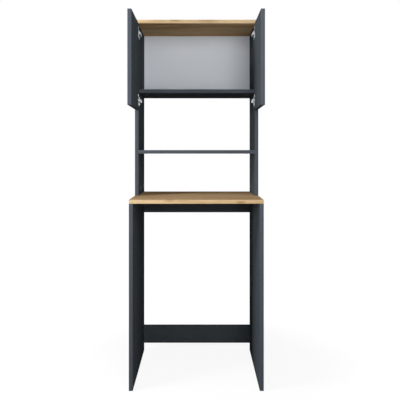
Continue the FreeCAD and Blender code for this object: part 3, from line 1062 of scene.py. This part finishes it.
@dataclass
class Piece:
    """A new piece: shells joined into one mesh that stands for solids of the frame."""

    name: str
    body: str
    finish: Finish
    stands_for: Sequence[str]
    patches: list[Patch] = field(default_factory=list)

    def add(self, *patches: Patch) -> None:
        """Add closed shells to the piece."""
        self.patches.extend(patches)

    def joined(self) -> bpy.types.Mesh:
        """Join the shells into one mesh and close their poles.

        Returns:
            The mesh, with its mask of painted edge highlight and of the bands' wear.
        """
        starts = np.cumsum([0] + [len(patch.points) for patch in self.patches]).tolist()
        points = np.concatenate([patch.points for patch in self.patches])
        faces = []
        for start, patch in zip(starts, self.patches):
            faces.extend(tuple(index + start for index in face) for face in patch.faces)
        mesh = bpy.data.meshes.new(self.name)
        mesh.from_pydata(points.tolist(), [], faces)
        # Per-point mask of the painted edge highlight and the bands' wear.
        attribute = mesh.attributes.new(EDGE_HIGHLIGHT_AND_WEAR, "FLOAT", "POINT")
        attribute.data.foreach_set("value", np.concatenate([patch.wear for patch in self.patches]))
        shell = bmesh.new()
        shell.from_mesh(mesh)
        bmesh.ops.remove_doubles(shell, verts=shell.verts, dist=MERGE_DISTANCE)
        bmesh.ops.dissolve_degenerate(shell, edges=shell.edges, dist=MERGE_DISTANCE)
        bmesh.ops.recalc_face_normals(shell, faces=shell.faces)
        shell.to_mesh(mesh)
        shell.free()
        return mesh

    def make(self) -> None:
        """Dress the piece's mesh and hang it on its body."""
        mesh = self.joined()
        mesh.shade_smooth()
        mesh.set_sharp_from_angle(angle=SMOOTH_ANGLE)
        mesh.materials.append(self.finish.paint())
        thing = bpy.data.objects.new(self.name, mesh)
        bpy.context.scene.collection.objects.link(thing)
        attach(thing, self.body)
        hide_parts(*self.stands_for)
        LOG.info("%s on %s: %d faces", self.name, self.body, len(mesh.polygons))


# Places in the frame


def corners_of(node: str) -> tuple[np.ndarray, np.ndarray]:
    """Return a node's lowest and highest corner as arrays."""
    low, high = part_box(node)
    return np.array(low), np.array(high)


def middle_of(node: str) -> np.ndarray:
    """Return the middle of a node's box."""
    low, high = corners_of(node)
    return (low + high) / 2


def inner_face(node: str, side: Side) -> float:
    """Return X of a node's face towards the middle plane."""
    return corners_of(node)[0 if side is Side.RIGHT else 1][0]


def outer_face(node: str, side: Side) -> float:
    """Return X of a node's face away from the middle plane."""
    return corners_of(node)[1 if side is Side.RIGHT else 0][0]


def rail_screw_places(side: Side, inset: float = 0.025, rail_height: float = 0.1) -> list[Triple]:
    """Return where the rails' screws enter the outer face of one lower side.

    Args:
        side: Side of the cabinet.
        inset: Distance of a screw from the rail's top or foot.
        rail_height: Height of a rail with its bands.

    Returns:
        One point for each screw.
    """
    outer = outer_face(f"{side.word}_lower_side", side)
    _, depth, lower_middle = middle_of("lower_rail")
    upper_top = corners_of("upper_rail")[1][2]
    feet = (lower_middle - rail_height / 2, upper_top - rail_height)
    return [(outer, depth, foot + rise) for foot in feet for rise in (inset, rail_height - inset)]


# Sub-assemblies


@dataclass
class Carcass:
    """The boards, and the fittings inside them that keep their solids."""

    finishes: dict[str, Finish] = field(
        default_factory=lambda: {
            "worktop": OAK_LEVEL,
            "top_board": OAK_LEVEL,
            "middle_shelf": GREY_LEVEL,
            "cupboard_floor": GREY_LEVEL,
            "upper_rail": GREY_RAIL,
            "lower_rail": GREY_RAIL,
            "back_panel": BACK,
            "left_lower_side": GREY_UPRIGHT,
            "right_lower_side": GREY_UPRIGHT,
            "left_upper_side": GREY_UPRIGHT,
            "right_upper_side": GREY_UPRIGHT,
            "left_door": GREY_UPRIGHT,
            "right_door": GREY_UPRIGHT,
            "cam_bolts": ZINC,
            "cam_locks": ZINC,
            "back_panel_nails": ZINC,
            "left_wall_bracket": ZINC,
            "right_wall_bracket": ZINC,
            "wooden_dowels": BEECH,
        }
    )

    def dress(self) -> None:
        """Give each board and each hidden fitting its finish."""
        for node, finish in self.finishes.items():
            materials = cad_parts[node].data.materials
            materials.clear()
            materials.append(finish.paint())
            LOG.info("%s dressed in %s", node, finish.name)


@dataclass
class EdgeBands:
    """Glued strips on the edges that show, with softly broken corners."""

    thickness: float = 0.001
    rounding: float = 0.00045

    def strip(
        self, node: str, axis: Axis, high_end: bool, longer: Sequence[float] = (0, 0, 0)
    ) -> Patch:
        """Make the strip on one edge of a board.

        Args:
            node: Board that carries it.
            axis: Direction that the edge faces along.
            high_end: True if it faces the positive direction.
            longer: How far the strip reaches past the board at both ends of each axis.

        Returns:
            The closed shell.
        """
        low, high = corners_of(node)
        low, high = low - longer, high + longer
        if high_end:
            low[axis.value] = high[axis.value]
            high[axis.value] += self.thickness
        else:
            high[axis.value] = low[axis.value]
            low[axis.value] -= self.thickness
        return rounded_slab(low, high, self.rounding)

    def build(self) -> None:
        """Make the oak bands, the grey bands and the bands of the doors."""
        oak = Piece("oak_bands", "carcass", OAK_BAND, ["oak_edging"])
        past_ends = (self.thickness, 0.0, 0.0)
        for node in ("worktop", "top_board"):
            oak.add(self.strip(node, Axis.Y, False, past_ends))
            oak.add(self.strip(node, Axis.X, False), self.strip(node, Axis.X, True))
        oak.make()
        grey = Piece("grey_bands", "carcass", GREY_BAND, ["grey_edging"])
        for node in ("middle_shelf", "cupboard_floor"):
            grey.add(self.strip(node, Axis.Y, False))
        grey.add(self.strip("upper_rail", Axis.Z, False))
        grey.add(self.strip("lower_rail", Axis.Z, False), self.strip("lower_rail", Axis.Z, True))
        for side in Side:
            grey.add(self.strip(f"{side.word}_lower_side", Axis.Y, False))
            grey.add(self.strip(f"{side.word}_upper_side", Axis.Y, False))
        grey.make()
        past_top_and_foot = (0.0, 0.0, self.thickness)
        for side in Side:
            door = f"{side.word}_door"
            bands = Piece(f"{door}_bands", f"{door}_leaf", GREY_BAND, [f"{door}_edging"])
            bands.add(self.strip(door, Axis.Y, False, past_top_and_foot))
            bands.add(self.strip(door, Axis.Y, True, past_top_and_foot))
            bands.add(self.strip(door, Axis.Z, False), self.strip(door, Axis.Z, True))
            bands.make()


@dataclass
class CupHinge:
    """One cup hinge: cup and flange in the door, arm and plate on the side board."""

    side: Side
    level: Level
    columns: int = 96
    cup_radius: float = 0.0175
    cup_wall: float = 0.0008
    cup_rounding: float = 0.0022
    mouth_rounding: float = 0.0006
    flange_thickness: float = 0.0012
    flange_rim: float = 0.0015
    flange_rounding: float = 0.0005
    # Share of the painted edge highlight on the flange's rim.
    flange_wear: float = 0.6
    wing_radius: float = 0.0075
    wing_run: float = 0.0245
    wing_offset: float = 0.006
    wing_blend: int = 12
    arm_length: float = 0.058
    arm_sheet: float = 0.0025
    arm_width: float = 0.012
    arm_wall: float = 0.0015
    arm_rounding: float = 0.001
    # Share of the painted edge highlight on the channel's bends.
    arm_highlight: float = 0.7
    wall_least: float = 0.0035
    wall_rise: float = 0.35
    wall_rows: int = 13
    neck_clearance: float = 0.0075
    tongue_lap: float = 0.018
    tongue_play: float = 0.0004
    bend_sheets: float = 1.5
    hook_run: float = 0.006
    hook_dip: float = 0.0018
    roll_radius: float = 0.00185
    roll_first: float = 250.0
    roll_last: float = 560.0
    roll_steps: int = 20
    eye_radius: float = 0.0024
    plate_thickness: float = 0.002
    plate_half_width: float = 0.01
    plate_rounding: float = 0.0006
    # Share of the painted edge highlight on the plate's rounded edge.
    plate_highlight: float = 0.8
    rail_play: float = 0.0001
    rail_lift: float = 0.0004
    rail_rounding: float = 0.0009
    rail_steps: int = 4

    @property
    def sign(self) -> float:
        """Sign of X on this hinge's side."""
        return float(self.side.value)

    def node(self, part: str) -> str:
        """Return the name of one of this hinge's nodes."""
        return f"{self.side.word}_{self.level.value}_hinge_{part}"

    def piece(self, part: str, body: str) -> Piece:
        """Start the piece that stands for one of this hinge's nodes."""
        return Piece(f"{self.side.word}_{self.level.value}_{part}", body, NICKEL, [self.node(part)])

    def wings(self, angle: np.ndarray, disc: float) -> np.ndarray:
        """Return how far the flange reaches past the disc round the cup's mouth.

        The disc and the slot of the wings are joined with soft inner corners: the root of
        the sum of their powers.

        Args:
            angle: Directions, from the axis that points away from the hinge edge.
            disc: Radius of the disc.

        Returns:
            The distance in each direction.
        """
        slot = slot_reach(angle, self.wing_run, self.wing_radius, self.wing_offset)
        return (disc**self.wing_blend + slot**self.wing_blend) ** (1 / self.wing_blend) - disc

    def cup(self) -> Piece:
        """Make the pressed cup with its flange.

        Each row of the grid has a radius, a depth and a share of the wings, and each
        column an angle: reach = radius + share * wings(angle).

        Returns:
            The piece, not yet made.
        """
        low, high = corners_of(self.node("cup"))
        _, middle_y, middle_z = (low + high) / 2
        depth = high[0] - low[0]
        floor = depth - self.cup_wall
        bore = self.cup_radius - self.cup_wall
        disc = self.cup_radius + self.flange_rim
        soft, mouth, rim = self.cup_rounding, self.mouth_rounding, self.flange_rounding
        inside = np.concatenate([[[0.0, floor]], arc((bore - soft, floor - soft), soft, 90, 0)])
        lip = arc((bore + mouth, mouth), mouth, 180, 270)
        edge = arc((disc - rim, rim), rim, -90, 0)
        under = [[disc, self.flange_thickness], [self.cup_radius, self.flange_thickness]]
        outside = arc((self.cup_radius - soft, depth - soft), soft, 0, 90)
        profile = np.concatenate([inside, lip, edge, under, outside, [[0.0, depth]]])
        share = np.zeros((len(profile), 1))
        first = len(inside) + len(lip)
        share[first : first + len(edge) + 1] = 1.0
        angle = ring_angles(self.columns)
        reach = profile[:, :1] + share * self.wings(angle, disc)
        points = grid_points(
            inner_face(self.node("cup"), self.side) + self.sign * profile[:, 1:],
            middle_y - reach * np.cos(angle),
            middle_z + reach * np.sin(angle),
        )
        piece = self.piece("cup", f"{self.side.word}_door_leaf")
        # Painted edge highlight on the flange's rim.
        piece.add(grid_patch(points, share * self.flange_wear))
        return piece

    def arm(self) -> Piece:
        """Make the arm: a pressed channel, and a tongue that hooks round the pin.

        Returns:
            The piece, not yet made.
        """
        low, high = corners_of(self.node("arm"))
        front = high[1] - self.arm_length
        bend = front + self.bend_sheets * self.arm_sheet
        web = inner_face(self.node("arm"), self.side) + self.sign * self.arm_sheet / 2
        neck = outer_face(self.node("plate"), self.side) - self.sign * self.neck_clearance
        pivot_x = outer_face(self.node("arm"), self.side) - self.sign * self.eye_radius
        pivot_y = low[1] + self.eye_radius
        tongue = smoothed(
            np.array(
                [
                    [web, front + self.tongue_lap],
                    [web, bend],
                    [neck, bend],
                    [neck, front],
                    [neck, pivot_y],
                    [pivot_x - self.sign * self.hook_run, pivot_y],
                    [pivot_x - self.sign * self.hook_run / 2, pivot_y - self.hook_dip],
                ]
            )
        )
        turns = arc((0.0, 0.0), self.roll_radius, self.roll_first, self.roll_last, self.roll_steps)
        roll = turns * [self.sign, 1.0] + [pivot_x, pivot_y]
        thin = 2 * (self.eye_radius - self.roll_radius)
        taper = len(tongue) // 3
        thickness = np.concatenate(
            [
                np.full(len(tongue) - taper, self.arm_sheet),
                np.linspace(self.arm_sheet, thin, taper),
                np.full(len(roll), thin),
            ]
        )
        level = (low[2] + high[2]) / 2
        piece = self.piece("arm", "carcass")
        path = np.concatenate([tongue, roll])
        piece.add(ribbon(path, thickness, self.arm_width - self.tongue_play, level))
        piece.add(self.channel(front, high[1], level))
        return piece

    def channel(self, front: float, rear: float, level: float) -> Patch:
        """Make the arm's channel.

        The section, a web with two walls, is carried from front to rear. At each place
        the walls' depth is the least depth plus the rest times a smooth step.

        Args:
            front: Y of the front end.
            rear: Y of the rear end.
            level: Z of the middle.

        Returns:
            The closed shell.
        """
        face = inner_face(self.node("arm"), self.side)
        room = abs(outer_face(self.node("plate"), self.side) - face)
        inner = self.arm_width / 2
        half = inner + self.arm_wall
        soft, tip = self.arm_rounding, self.arm_wall / 2
        corner = arc((soft, half - soft), soft, 180, 90, 4)
        wall_end = arc((0.0, half - tip), tip, 90, -90, 4)
        upper = np.concatenate([corner, wall_end, [[self.arm_wall, inner]]])
        at_end = np.zeros(len(upper))
        at_end[len(corner) : -1] = 1.0
        section = np.concatenate([upper, upper[::-1] * [1.0, -1.0]])
        at_end = np.concatenate([at_end, at_end[::-1]])
        along = np.linspace(0.0, 1.0, self.wall_rows)[:, None]
        step = np.clip(along / self.wall_rise, 0.0, 1.0)
        deepest = room - self.plate_thickness - self.arm_wall
        depth = self.wall_least + (deepest - self.wall_least) * step * step * (3 - 2 * step)
        points = grid_points(
            face + self.sign * (section[:, 0] + at_end * (depth - tip)),
            front + (rear - front) * along,
            level + section[:, 1],
        )
        # Painted edge highlight on the channel's bends.
        bent = np.zeros(len(section))
        bent[: len(corner)] = self.arm_highlight
        bent[-len(corner) :] = self.arm_highlight
        return grid_patch(points, bent, capped=True)

    def plate(self) -> Piece:
        """Make the mounting plate: a rail for the arm on a winged foot.

        The foot's grid goes from its middle out to a slot-shaped outline, over a rounded
        edge and back to the middle of its underside.

        Returns:
            The piece, not yet made.
        """
        low, high = corners_of(self.node("plate"))
        _, middle_y, middle_z = (low + high) / 2
        top = outer_face(self.node("plate"), self.side) - self.sign * self.plate_thickness
        angle = ring_angles(self.columns)
        half_run = (high[2] - low[2]) / 2 - self.plate_half_width
        outline = slot_reach(angle, half_run, self.plate_half_width)
        soft = self.plate_rounding
        edge = arc((-soft, soft), soft, -90, 0)
        under = [0.0, self.plate_thickness]
        rows = np.concatenate([[[0.0, 0.0]], edge, [under, under]])
        reach = outline + rows[:, :1]
        reach[[0, -1]] = 0.0
        points = grid_points(
            top + self.sign * rows[:, 1:],
            middle_y + reach * np.cos(angle),
            middle_z + reach * np.sin(angle),
        )
        # Painted edge highlight on the plate's rounded edge.
        wear = np.zeros((len(rows), 1))
        wear[1 : 1 + len(edge)] = self.plate_highlight
        piece = self.piece("plate", "carcass")
        piece.add(grid_patch(points, wear))
        half = self.arm_width / 2 - self.rail_play
        low[2], high[2] = middle_z - half, middle_z + half
        if self.side is Side.RIGHT:
            high[0] -= self.rail_lift
        else:
            low[0] += self.rail_lift
        piece.add(rounded_slab(low, high, self.rail_rounding, self.rail_steps))
        return piece

    def build(self) -> None:
        """Make the hinge's three pressed pieces."""
        for piece in (self.cup(), self.arm(), self.plate()):
            piece.make()


@dataclass(frozen=True)
class Screw:
    """A screw with a cross recess in its head and a cone at its tip.

    The length is that under a pan head, or over all for a countersunk one. The recess is
    given in shares of the head's radius, and the teeth in shares of radius and pitch.
    """

    radius: float
    head_radius: float
    length: float
    head: Head = Head.PAN
    pitch: float = 0.0013
    head_height: float = 0.0018
    crown_share: float = 0.45
    rim_rounding: float = 0.0004
    rim_height: float = 0.0002
    neck: float = 0.0004
    root_radius: float = 0.74
    crest_place: float = 0.35
    root_place: float = 0.95
    tip_share: float = 0.3
    slot_half: float = 0.17
    slot_slope: float = 0.06
    slot_run: float = 0.6
    slot_end: float = 0.12
    slot_depth: float = 0.45
    slot_rows: tuple[float, float, int] = (0.0, 0.7, 15)
    rim_rows: tuple[float, float, int] = (0.78, 0.97, 4)
    columns: int = 48

    def thread(self, first: float, last: float) -> np.ndarray:
        """Return the shank's profile, with a saw-tooth thread.

        Args:
            first: Distance at which the thread starts.
            last: Distance of the tip.

        Returns:
            Rows of radius and distance, ending on the axis.
        """
        teeth = max(int((last - first) / self.pitch) - 2, 1)
        base = first + np.arange(teeth) * self.pitch
        root = self.root_radius * self.radius
        crests = np.stack([np.full(teeth, self.radius), base + self.crest_place * self.pitch], -1)
        roots = np.stack([np.full(teeth, root), base + self.root_place * self.pitch], -1)
        body = np.stack([crests, roots], 1).reshape(-1, 2)
        tip = [[self.tip_share * self.radius, last - self.tip_share * self.pitch], [0.0, last]]
        return np.concatenate([[[root, first]], body, tip])

    def rim(self, crown: float) -> np.ndarray:
        """Return the profile from the head's top edge to the tip.

        Args:
            crown: Height of the head's dome.

        Returns:
            Rows of radius and distance. Under a dome the first row's distance is 0.
        """
        if self.head is Head.COUNTERSUNK:
            seat = self.head_radius - self.radius
            cone = [[self.head_radius, self.rim_height], [self.radius, seat]]
            return np.concatenate([cone, self.thread(seat + self.neck, self.length)])
        seat, soft = self.head_height, self.rim_rounding
        edge = arc((self.head_radius - soft, crown + soft), soft, -60, 0, 3)
        shoulder = [[self.head_radius, seat], [self.radius, seat]]
        profile = np.concatenate([edge, shoulder, self.thread(seat + self.neck, seat + self.length)])
        profile[:, 1] -= profile[0, 1]
        return profile

    def shell(self, start: Sequence[float], direction: np.ndarray) -> Patch:
        """Make the screw.

        The head's top is a dome, crown * (1 - t * t) over the radius share t, less a
        recess that sinks where both coordinates lie in a cross. The rim follows.

        Args:
            start: Top of the head, on the axis.
            direction: Unit vector into the wood.

        Returns:
            The closed shell.
        """
        crown = self.head_height * self.crown_share if self.head is Head.PAN else 0.0
        rim = self.rim(crown)
        top_radius = rim[0, 0]
        shares = np.concatenate([np.linspace(*self.slot_rows), np.linspace(*self.rim_rows)])
        t, u = np.meshgrid(shares, ring_angles(self.columns), indexing="ij")
        across, along = np.abs(t * np.cos(u)), np.abs(t * np.sin(u))
        narrow = (self.slot_half - np.minimum(across, along)) / self.slot_slope
        short = (self.slot_run - np.maximum(across, along)) / self.slot_end
        sunk = np.clip(narrow, 0.0, 1.0) * np.clip(short, 0.0, 1.0) * top_radius * self.slot_depth
        top = np.stack([t * top_radius, sunk - crown * (1.0 - t * t)], -1)
        side = np.broadcast_to(rim[:, None, :], (len(rim), self.columns, 2))
        grid = np.concatenate([top, side])
        # Painted edge highlight round the head's rim.
        wear = np.zeros((len(grid), 1))
        wear[len(shares) - 1 : len(shares) + 1] = 1.0
        under_dome = np.asarray(start, float) + direction * crown
        return grid_patch(about_axis(under_dome, direction, grid, self.columns), wear)


@dataclass
class Screws:
    """All screws whose heads show, or would show without their caps."""

    small: Screw = Screw(0.00175, 0.0034, 0.012)
    plate: Screw = Screw(0.0024, 0.004, 0.012)
    arm: Screw = Screw(0.00175, 0.0034, 0.0099)
    rail: Screw = Screw(0.003, 0.005, 0.05, Head.COUNTERSUNK, 0.0022)
    cup_spacing: float = 0.048
    plate_spacing: float = 0.032
    arm_spacing: float = 0.02
    plate_thickness: float = 0.002

    def build(self) -> None:
        """Make the screws of the hinges, the wall brackets and the rails."""
        arms = Piece("arm_screw_set", "carcass", ZINC, ["arm_screws"])
        plates = Piece("plate_screw_set", "carcass", ZINC, ["plate_screws"])
        for side in Side:
            leaf, screws = f"{side.word}_door_leaf", f"{side.word}_cup_screws"
            cups = Piece(f"{side.word}_cup_screw_set", leaf, ZINC, [screws])
            cup_line = middle_of(screws)[1]
            into = side.outward
            for level in Level:
                hinge = f"{side.word}_{level.value}_hinge"
                height = middle_of(f"{hinge}_cup")[2]
                line = middle_of(f"{hinge}_plate")[1]
                cup_seat = inner_face(f"{hinge}_cup", side)
                plate_seat = outer_face(f"{hinge}_plate", side) - into[0] * self.plate_thickness
                arm_seat = inner_face(f"{hinge}_arm", side)
                for end in (-0.5, 0.5):
                    on_cup = (cup_seat, cup_line, height + end * self.cup_spacing)
                    on_plate = (plate_seat, line, height + end * self.plate_spacing)
                    on_arm = (arm_seat, line + end * self.arm_spacing, height)
                    for piece, screw, seat in (
                        (cups, self.small, on_cup),
                        (plates, self.plate, on_plate),
                        (arms, self.arm, on_arm),
                    ):
                        piece.add(screw.shell(seat - into * screw.head_height, into))
            cups.make()
        arms.make()
        plates.make()
        self.build_bracket_screws()
        self.build_rail_screws()

    def build_bracket_screws(self) -> None:
        """Make the screws that hold the wall brackets to the top board."""
        brackets = Piece("bracket_screw_set", "carcass", ZINC, ["bracket_screws"])
        top = corners_of("bracket_screws")[1][2]
        for side in Side:
            start = (middle_of(f"{side.word}_wall_bracket")[0], middle_of("bracket_screws")[1], top)
            brackets.add(self.small.shell(start, -UP))
        brackets.make()

    def build_rail_screws(self) -> None:
        """Make the long screws through the lower sides into the rails."""
        rails = Piece("rail_screw_set", "carcass", ZINC, ["rail_screws"])
        for side in Side:
            for start in rail_screw_places(side):
                rails.add(self.rail.shell(start, -side.outward))
        rails.make()


@dataclass
class SmallParts:
    """Hinge pins, covers, caps and glides."""

    pin_bevel: float = 0.0003
    pin_columns: int = 24
    flange_length: float = 0.064
    cover_radius: float = 0.0085
    cover_height: float = 0.001
    cover_crown: float = 0.0007
    cap_radius: float = 0.0065
    cap_height: float = 0.0015
    cap_crown: float = 0.0011
    button_columns: int = 28
    glide_radius: float = 0.008
    glide_height: float = 0.0025
    glide_rounding: float = 0.0012
    glide_nail_radius: float = 0.0012
    glide_nail_length: float = 0.014
    glide_nail_point: float = 0.002
    glide_insets: tuple[float, float] = (0.04, 0.04)
    band: float = 0.001
    cam_reach: float = 0.034
    lower_insets: tuple[float, float] = (0.06, 0.1)
    upper_insets: tuple[float, float] = (0.1, 0.045)

    def build(self) -> None:
        """Make all of them."""
        self.build_pins()
        self.build_covers()
        self.build_caps()
        self.build_glides()

    def places(self, board: str, insets: tuple[float, float]) -> tuple[float, float]:
        """Return two places along Y, inset from the front and rear of a banded board."""
        low, high = corners_of(board)
        return low[1] - self.band + insets[0], high[1] - insets[1]

    def build_pins(self) -> None:
        """Make the pins that the doors turn on, with bevelled ends."""
        bevel = self.pin_bevel
        for side in Side:
            name = f"{side.word}_hinge_pins"
            low, high = corners_of(name)
            radius = (high[0] - low[0]) / 2
            cup_foot = corners_of(f"{side.word}_upper_hinge_cup")[0][2]
            length = 2 * (high[2] - cup_foot - self.flange_length / 2)
            half = [[0.0, 0.0], [radius - bevel, 0.0], [radius, bevel]]
            other = [[radius, length - bevel], [radius - bevel, length], [0.0, length]]
            pins = Piece(f"{side.word}_pins", f"{side.word}_door_leaf", NICKEL, [name])
            for foot in (low[2], high[2] - length):
                start = (*middle_of(name)[:2], foot)
                pins.add(turned(start, UP, np.array(half + other), self.pin_columns))
            pins.make()

    def build_covers(self) -> None:
        """Make the round covers over the cams."""
        covers = Piece("cam_cover_set", "carcass", GREY_PLASTIC, ["cam_covers"])
        profile = button(self.cover_radius, self.cover_height, self.cover_crown)
        worktop_low, worktop_high = corners_of("worktop")
        under_worktop = worktop_low[2] - self.cam_reach
        over_worktop = worktop_high[2] + self.cam_reach
        under_top = corners_of("top_board")[0][2] - self.cam_reach
        for side in Side:
            upper, lower = f"{side.word}_upper_side", f"{side.word}_lower_side"
            inner = inner_face(upper, side)
            for board, insets, heights in (
                (lower, self.lower_insets, (under_worktop,)),
                (upper, self.upper_insets, (over_worktop, under_top)),
            ):
                for place in self.places(board, insets):
                    for height in heights:
                        start = (inner, place, height)
                        covers.add(turned(start, -side.outward, profile, self.button_columns))
            for shelf in ("middle_shelf", "cupboard_floor"):
                under = corners_of(shelf)[0][2]
                for place in self.places(upper, self.upper_insets):
                    start = (inner - side.value * self.cam_reach, place, under)
                    covers.add(turned(start, -UP, profile, self.button_columns))
        covers.make()

    def build_caps(self) -> None:
        """Make the caps over the rails' screws."""
        caps = Piece("screw_cap_set", "carcass", GREY_PLASTIC, ["screw_caps"])
        profile = button(self.cap_radius, self.cap_height, self.cap_crown)
        for side in Side:
            for start in rail_screw_places(side):
                caps.add(turned(start, side.outward, profile, self.button_columns))
        caps.make()

    def build_glides(self) -> None:
        """Make the nailed glides under the lower sides."""
        glides = Piece("glide_set", "carcass", PALE_PLASTIC, ["floor_glides"])
        soft, top, nail = self.glide_rounding, self.glide_height, self.glide_nail_radius
        tip = top + self.glide_nail_length
        foot = arc((self.glide_radius - soft, soft), soft, -90, 0)
        shank = [[nail, top], [nail, tip - self.glide_nail_point], [0.0, tip]]
        profile = np.concatenate([[[0.0, 0.0]], foot, [[self.glide_radius, top]], shank])
        for side in Side:
            board = f"{side.word}_lower_side"
            for place in self.places(board, self.glide_insets):
                glides.add(turned((middle_of(board)[0], place, 0.0), UP, profile))
        glides.make()


# Studio


@dataclass(frozen=True)
class Lamp:
    """A soft round lamp: its place, aim, diameter and power in watts."""

    name: str
    place: Triple
    aim: Triple
    size: float
    power: float

    def build(self) -> None:
        """Set the lamp up, turned to its aim."""
        lamp = bpy.data.lights.new(self.name, "AREA")
        lamp.shape = "DISK"
        lamp.size = self.size
        lamp.energy = self.power
        holder = bpy.data.objects.new(self.name, lamp)
        bpy.context.scene.collection.objects.link(holder)
        holder.visible_camera = False
        run = np.array(self.aim) - np.array(self.place)
        holder.location = self.place
        tilt = math.atan2(math.hypot(run[0], run[1]), -run[2])
        holder.rotation_euler = (tilt, 0.0, math.atan2(-run[0], run[1]))


@dataclass
class Studio:
    """Pale floor, soft lamps, white surroundings and the camera."""

    floor_half: float = 6.0
    floor_colour: Colour = (0.3, 0.3, 0.3)
    floor_roughness: float = 0.9
    shadow_share: float = 0.4
    floor_glow: float = 1.52
    shadow_reach: Triple = (1.9, 1.9, 1.0)
    surround: float = 0.02
    camera_place: Triple = (0.01784, -2.83736, 1.15804)
    camera_lens: float = 48.714
    camera_shift: float = -0.1225
    sensor_width: float = 36.0
    lamps: tuple[Lamp, ...] = (
        Lamp("front_lamp", (0.6, -4.5, 1.4), (0.0, 0.0, 1.0), 2.0, 14.0),
        Lamp("near_lamp", (0.45, -2.2, 1.15), (0.0, 0.0, 1.0), 0.8, 10.0),
        Lamp("low_left_lamp", (-2.85, -1.78, 1.22), (0.0, 0.0, 1.0), 0.7, 54.0),
        Lamp("high_left_lamp", (-2.2, -0.95, 2.25), (0.0, 0.0, 1.0), 0.9, 38.0),
        Lamp("low_right_lamp", (3.0, -1.6, 0.9), (0.0, 0.0, 0.9), 1.7, 12.0),
        Lamp("high_right_lamp", (2.2, -1.2, 2.4), (0.0, 0.0, 1.0), 1.4, 7.0),
        Lamp("cupboard_lamp", (0.22, -1.6, 1.87), (0.0, 0.3, 1.57), 0.8, 11.0),
        Lamp("rear_lamp", (0.0, 8.0, 0.4), (0.0, 0.0, 0.8), 2.5, 80.0),
    )

    def seen(self, tree: bpy.types.NodeTree) -> Socket:
        """Return 1 for rays that show the surroundings: camera, glossy and transmission.

        Args:
            tree: Node tree of a world or material.

        Returns:
            The factor.
        """
        path = tree.nodes.new("ShaderNodeLightPath")
        total = path.outputs["Is Camera Ray"]
        for ray in ("Is Glossy Ray", "Is Transmission Ray"):
            node = tree.nodes.new("ShaderNodeMath")
            node.operation = "MAXIMUM"
            tree.links.new(total, node.inputs[0])
            tree.links.new(path.outputs[ray], node.inputs[1])
            total = node.outputs[0]
        return total

    def build_world(self) -> None:
        """Light the scene evenly and show white to the camera."""
        world = bpy.data.worlds.new("surroundings")
        bpy.context.scene.world = world
        world.use_nodes = True
        tree = world.node_tree
        tree.nodes.clear()
        output = tree.nodes.new("ShaderNodeOutputWorld")
        mix = tree.nodes.new("ShaderNodeMixShader")
        for index, strength in ((1, self.surround), (2, 1.0)):
            light = tree.nodes.new("ShaderNodeBackground")
            light.inputs["Color"].default_value = (1.0, 1.0, 1.0, 1.0)
            light.inputs["Strength"].default_value = strength
            tree.links.new(light.outputs[0], mix.inputs[index])
        tree.links.new(self.seen(tree), mix.inputs[0])
        tree.links.new(mix.outputs[0], output.inputs["Surface"])

    def build_floor(self) -> None:
        """Lay a pale floor that shows nearly white and keeps a soft shadow."""
        half = self.floor_half
        corners = [(-half, -half, 0), (half, -half, 0), (half, half, 0), (-half, half, 0)]
        mesh = bpy.data.meshes.new("floor")
        mesh.from_pydata(corners, [], [(0, 1, 2, 3)])
        floor = bpy.data.objects.new("floor", mesh)
        bpy.context.scene.collection.objects.link(floor)
        bench = Bench("pale_floor")
        bench.feed(bench.shader.inputs["Base Color"], self.floor_colour)
        bench.feed(bench.shader.inputs["Roughness"], self.floor_roughness)
        bench.feed(bench.shader.inputs["Specular IOR Level"], 0.0)
        near = bench.spot((0.0, 0.0, 0.0), self.shadow_reach)
        glow = bench.remap(near, Span(0.0, 1.0, 1.0, self.floor_glow))
        white = bench.add("ShaderNodeEmission", {"Strength": glow})
        plain = bench.remap(near, Span(0.0, 1.0, 1.0, 1.0 - self.shadow_share))
        share = bench.maths("MULTIPLY", self.seen(bench.tree), plain)
        inputs = {0: share, 1: bench.shader.outputs[0], 2: white.outputs[0]}
        bench.feed(bench.output.inputs["Surface"], bench.add("ShaderNodeMixShader", inputs).outputs[0])
        mesh.materials.append(bench.material)

    def build_camera(self) -> None:
        """Stand the camera square in front, a little right of the middle."""
        lens = bpy.data.cameras.new("camera")
        lens.sensor_width = self.sensor_width
        lens.lens = self.camera_lens
        lens.shift_y = self.camera_shift
        camera = bpy.data.objects.new("camera", lens)
        camera.location = self.camera_place
        camera.rotation_euler = (math.pi / 2, 0.0, 0.0)
        bpy.context.scene.collection.objects.link(camera)
        bpy.context.scene.camera = camera

    def build(self) -> None:
        """Set up the whole studio."""
        self.build_world()
        self.build_floor()
        for lamp in self.lamps:
            lamp.build()
        self.build_camera()
        bpy.context.scene.view_settings.view_transform = "Standard"


def main() -> None:
    """Build the cabinet's looks in order, then the studio."""
    logging.basicConfig(level=logging.INFO, format="%(message)s")
    Carcass().dress()
    EdgeBands().build()
    for side in Side:
        for level in Level:
            CupHinge(side, level).build()
    Screws().build()
    SmallParts().build()
    Studio().build()


if __name__ == "__main__":
    main()
